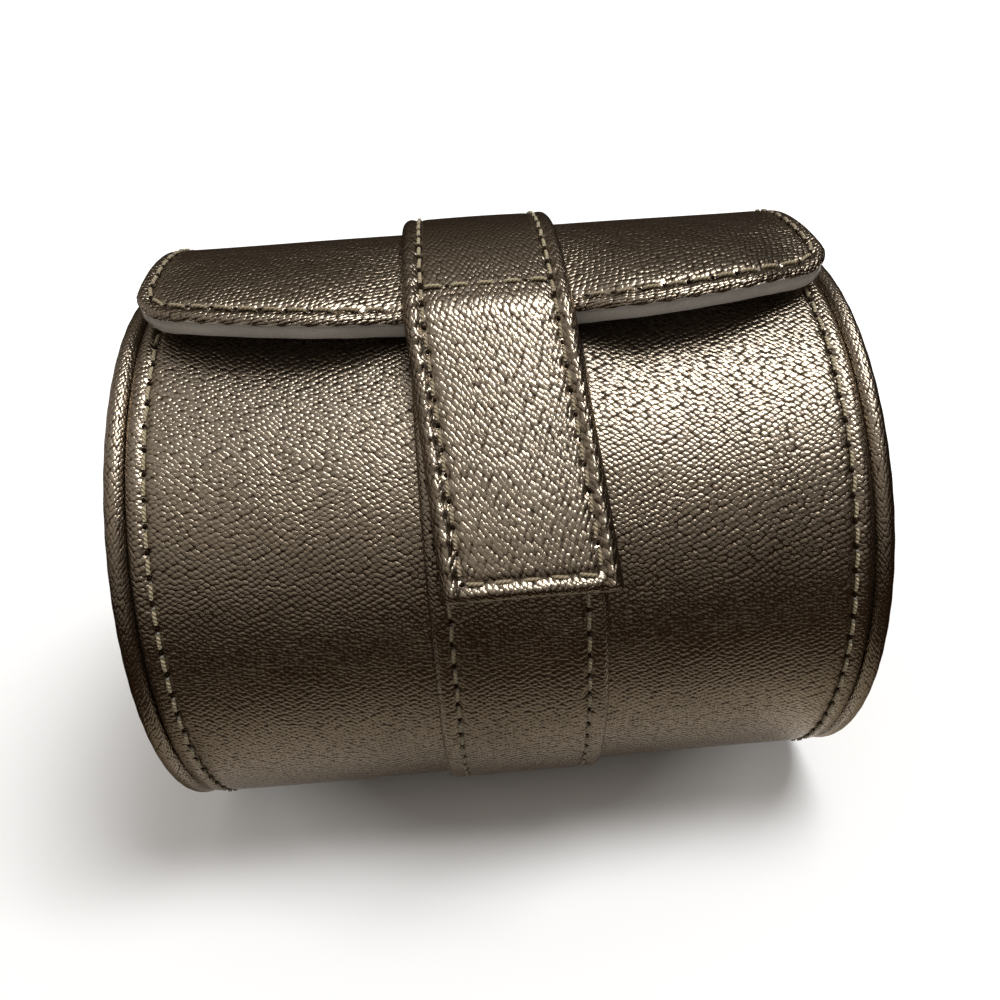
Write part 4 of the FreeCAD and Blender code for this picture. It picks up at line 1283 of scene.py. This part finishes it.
def card_material():
    """Matt card: grey up to 44 mm from the middle line of the case, dark brown from 64 mm, and all
    of that 11 mm further out at the ends of the case."""
    made, tree = new_material("dark_card")
    place = add(tree, "TexCoord", {}, "Object")
    beside = add(tree, "SeparateXYZ", {0: place}, "X")
    beside = add(tree, "Math", {0: beside}, operation="ABSOLUTE")
    beside = add(tree, "Math", {0: beside, 1: 0.011}, operation="SUBTRACT")
    before = add(tree, "SeparateXYZ", {0: place}, "Y")
    before = add(tree, "Math", {0: before}, operation="ABSOLUTE")
    away = add(tree, "Math", {0: before, 1: beside}, operation="MAXIMUM")
    near = add(tree, "MapRange", {"Value": away, 1: 0.064, 2: 0.044})
    tone = add(tree, "Mix", {0: near, 6: colour("#2e1f12"), 7: colour("#aaa396")}, 2, data_type="RGBA")
    add(tree, "OutputMaterial", {"Surface": add(tree, "BsdfDiffuse", {"Color": tone})})
    return made


def make_cards():
    """Cards seen only in reflections: one on the floor with a hole for the case, one that stands
    behind it and one on its right."""
    x = np.array([-CARD_REACH, -47, 47, CARD_REACH])
    y = np.array([-CARD_REACH, -37, 37, CARD_REACH])
    floor = np.stack(np.broadcast_arrays(x[:, None], y[None], CARD_LIFT), axis=-1)
    cells = grid_faces(np.arange(16).reshape(4, 4), floor[..., :2])[0]
    round_case = np.delete(cells, 4, axis=0).tolist()
    floor = floor.reshape(-1, 3)
    tops = floor[[0, 3, 15, 12]] + [0, 0, CARD_HEIGHT]
    standing = [[3, 15, 18, 17], [15, 12, 19, 18]]
    mesh = bare_mesh("dark_cards", np.concatenate([floor, tops]), round_case + standing)
    return link_object("dark_cards", mesh)


cards = make_cards()
dress(cards, card_material())
cards.visible_camera = False
cards.visible_shadow = False
cards.visible_diffuse = False
print("cards:", len(cards.data.polygons), "faces")


# %% [markdown]
# ## Light and camera
# One soft box hangs almost straight over the case, a little to the front and right. A dim room
# fills the rest: it gets darker and browner downwards, to the back and to the right, so that the
# foil has something bright above it and something dark in front. The camera stands close, above
# the case and looking down, which is why the ends look smaller than the middle.

# %% Lights
def soft_box(name, place, target, size, radiance):
    """A rectangular lamp aimed at a target. Its watts are radiance times pi times its area."""
    lamp = bpy.data.lights.new(name, "AREA")
    lamp.shape = "RECTANGLE"
    lamp.size, lamp.size_y = size
    lamp.energy = radiance * math.pi * size[0] * size[1]
    holder = link_object(name, lamp)
    holder.location = place
    aim = np.array(target) - np.array(place)
    holder.rotation_euler = Vector(aim).to_track_quat("-Z", "Y").to_euler()
    return holder


def light_room(name):
    """A dim room: its strength rises with the height of a direction and falls to the back and to
    the right, and its tone goes from warm below to white above and to brown at the back."""
    room = bpy.data.worlds.new(name)
    room.use_nodes = True
    tree = room.node_tree
    toward = add(tree, "TexCoord", {}, "Generated")
    x, y, z = (add(tree, "SeparateXYZ", {0: toward}, axis) for axis in "XYZ")
    rise = add(tree, "MapRange", {"Value": z, 1: -0.05, 2: 0.6, 3: 0.03, 4: 0.62})
    back = add(tree, "MapRange", {"Value": y, 1: -0.1, 2: 0.7, 3: 1.0, 4: 0.20})
    beside = add(tree, "MapRange", {"Value": x, 1: 0.1, 2: 0.8, 3: 1.0, 4: 0.3})
    strength = add(tree, "Math", {0: rise, 1: back}, operation="MULTIPLY")
    strength = add(tree, "Math", {0: strength, 1: beside}, operation="MULTIPLY")
    tone = add(tree, "Mix", {0: z, 6: colour("#ffecd4"), 7: colour("#fffefd")}, 2, data_type="RGBA")
    tone = add(tree, "Mix", {0: y, 6: tone, 7: colour("#ffe7c8")}, 2, data_type="RGBA")
    tree.links.new(strength, tree.nodes["Background"].inputs["Strength"])
    tree.links.new(tone, tree.nodes["Background"].inputs["Color"])
    return room


lamp = soft_box("overhead_box", (0.27, -0.18, 0.85), (0, 0, 0.04), (0.40, 0.36), 15.5)
bpy.context.scene.world = light_room("grey_room")
print(f"lamp: {lamp.data.energy:.2f} W")


# %% Camera
PITCH_DOWN = math.radians(-23.14)
YAW = math.radians(2.2)
ROLL = math.radians(-3.67)
CAMERA_AT = Vector((-0.00427, -0.13292, 0.09758))
forward = Vector((math.sin(YAW) * math.cos(PITCH_DOWN), math.cos(YAW) * math.cos(PITCH_DOWN),
                  math.sin(PITCH_DOWN)))
level = forward.cross(Vector((0, 0, 1))).normalized()
upright = level.cross(forward)
right = level * math.cos(ROLL) + upright * math.sin(ROLL)
up = upright * math.cos(ROLL) - level * math.sin(ROLL)
lens = bpy.data.cameras.new("camera")
lens.lens = 33.3
lens.clip_start = 0.005
camera = link_object("camera", lens)
turn = Matrix((right, up, -forward)).transposed().to_4x4()
camera.matrix_world = Matrix.Translation(CAMERA_AT) @ turn
bpy.context.scene.camera = camera
bpy.context.scene.view_settings.view_transform = "Standard"
print(f"camera: {lens.lens} mm lens, {1000 * CAMERA_AT.length:.0f} mm from the foot of the case")
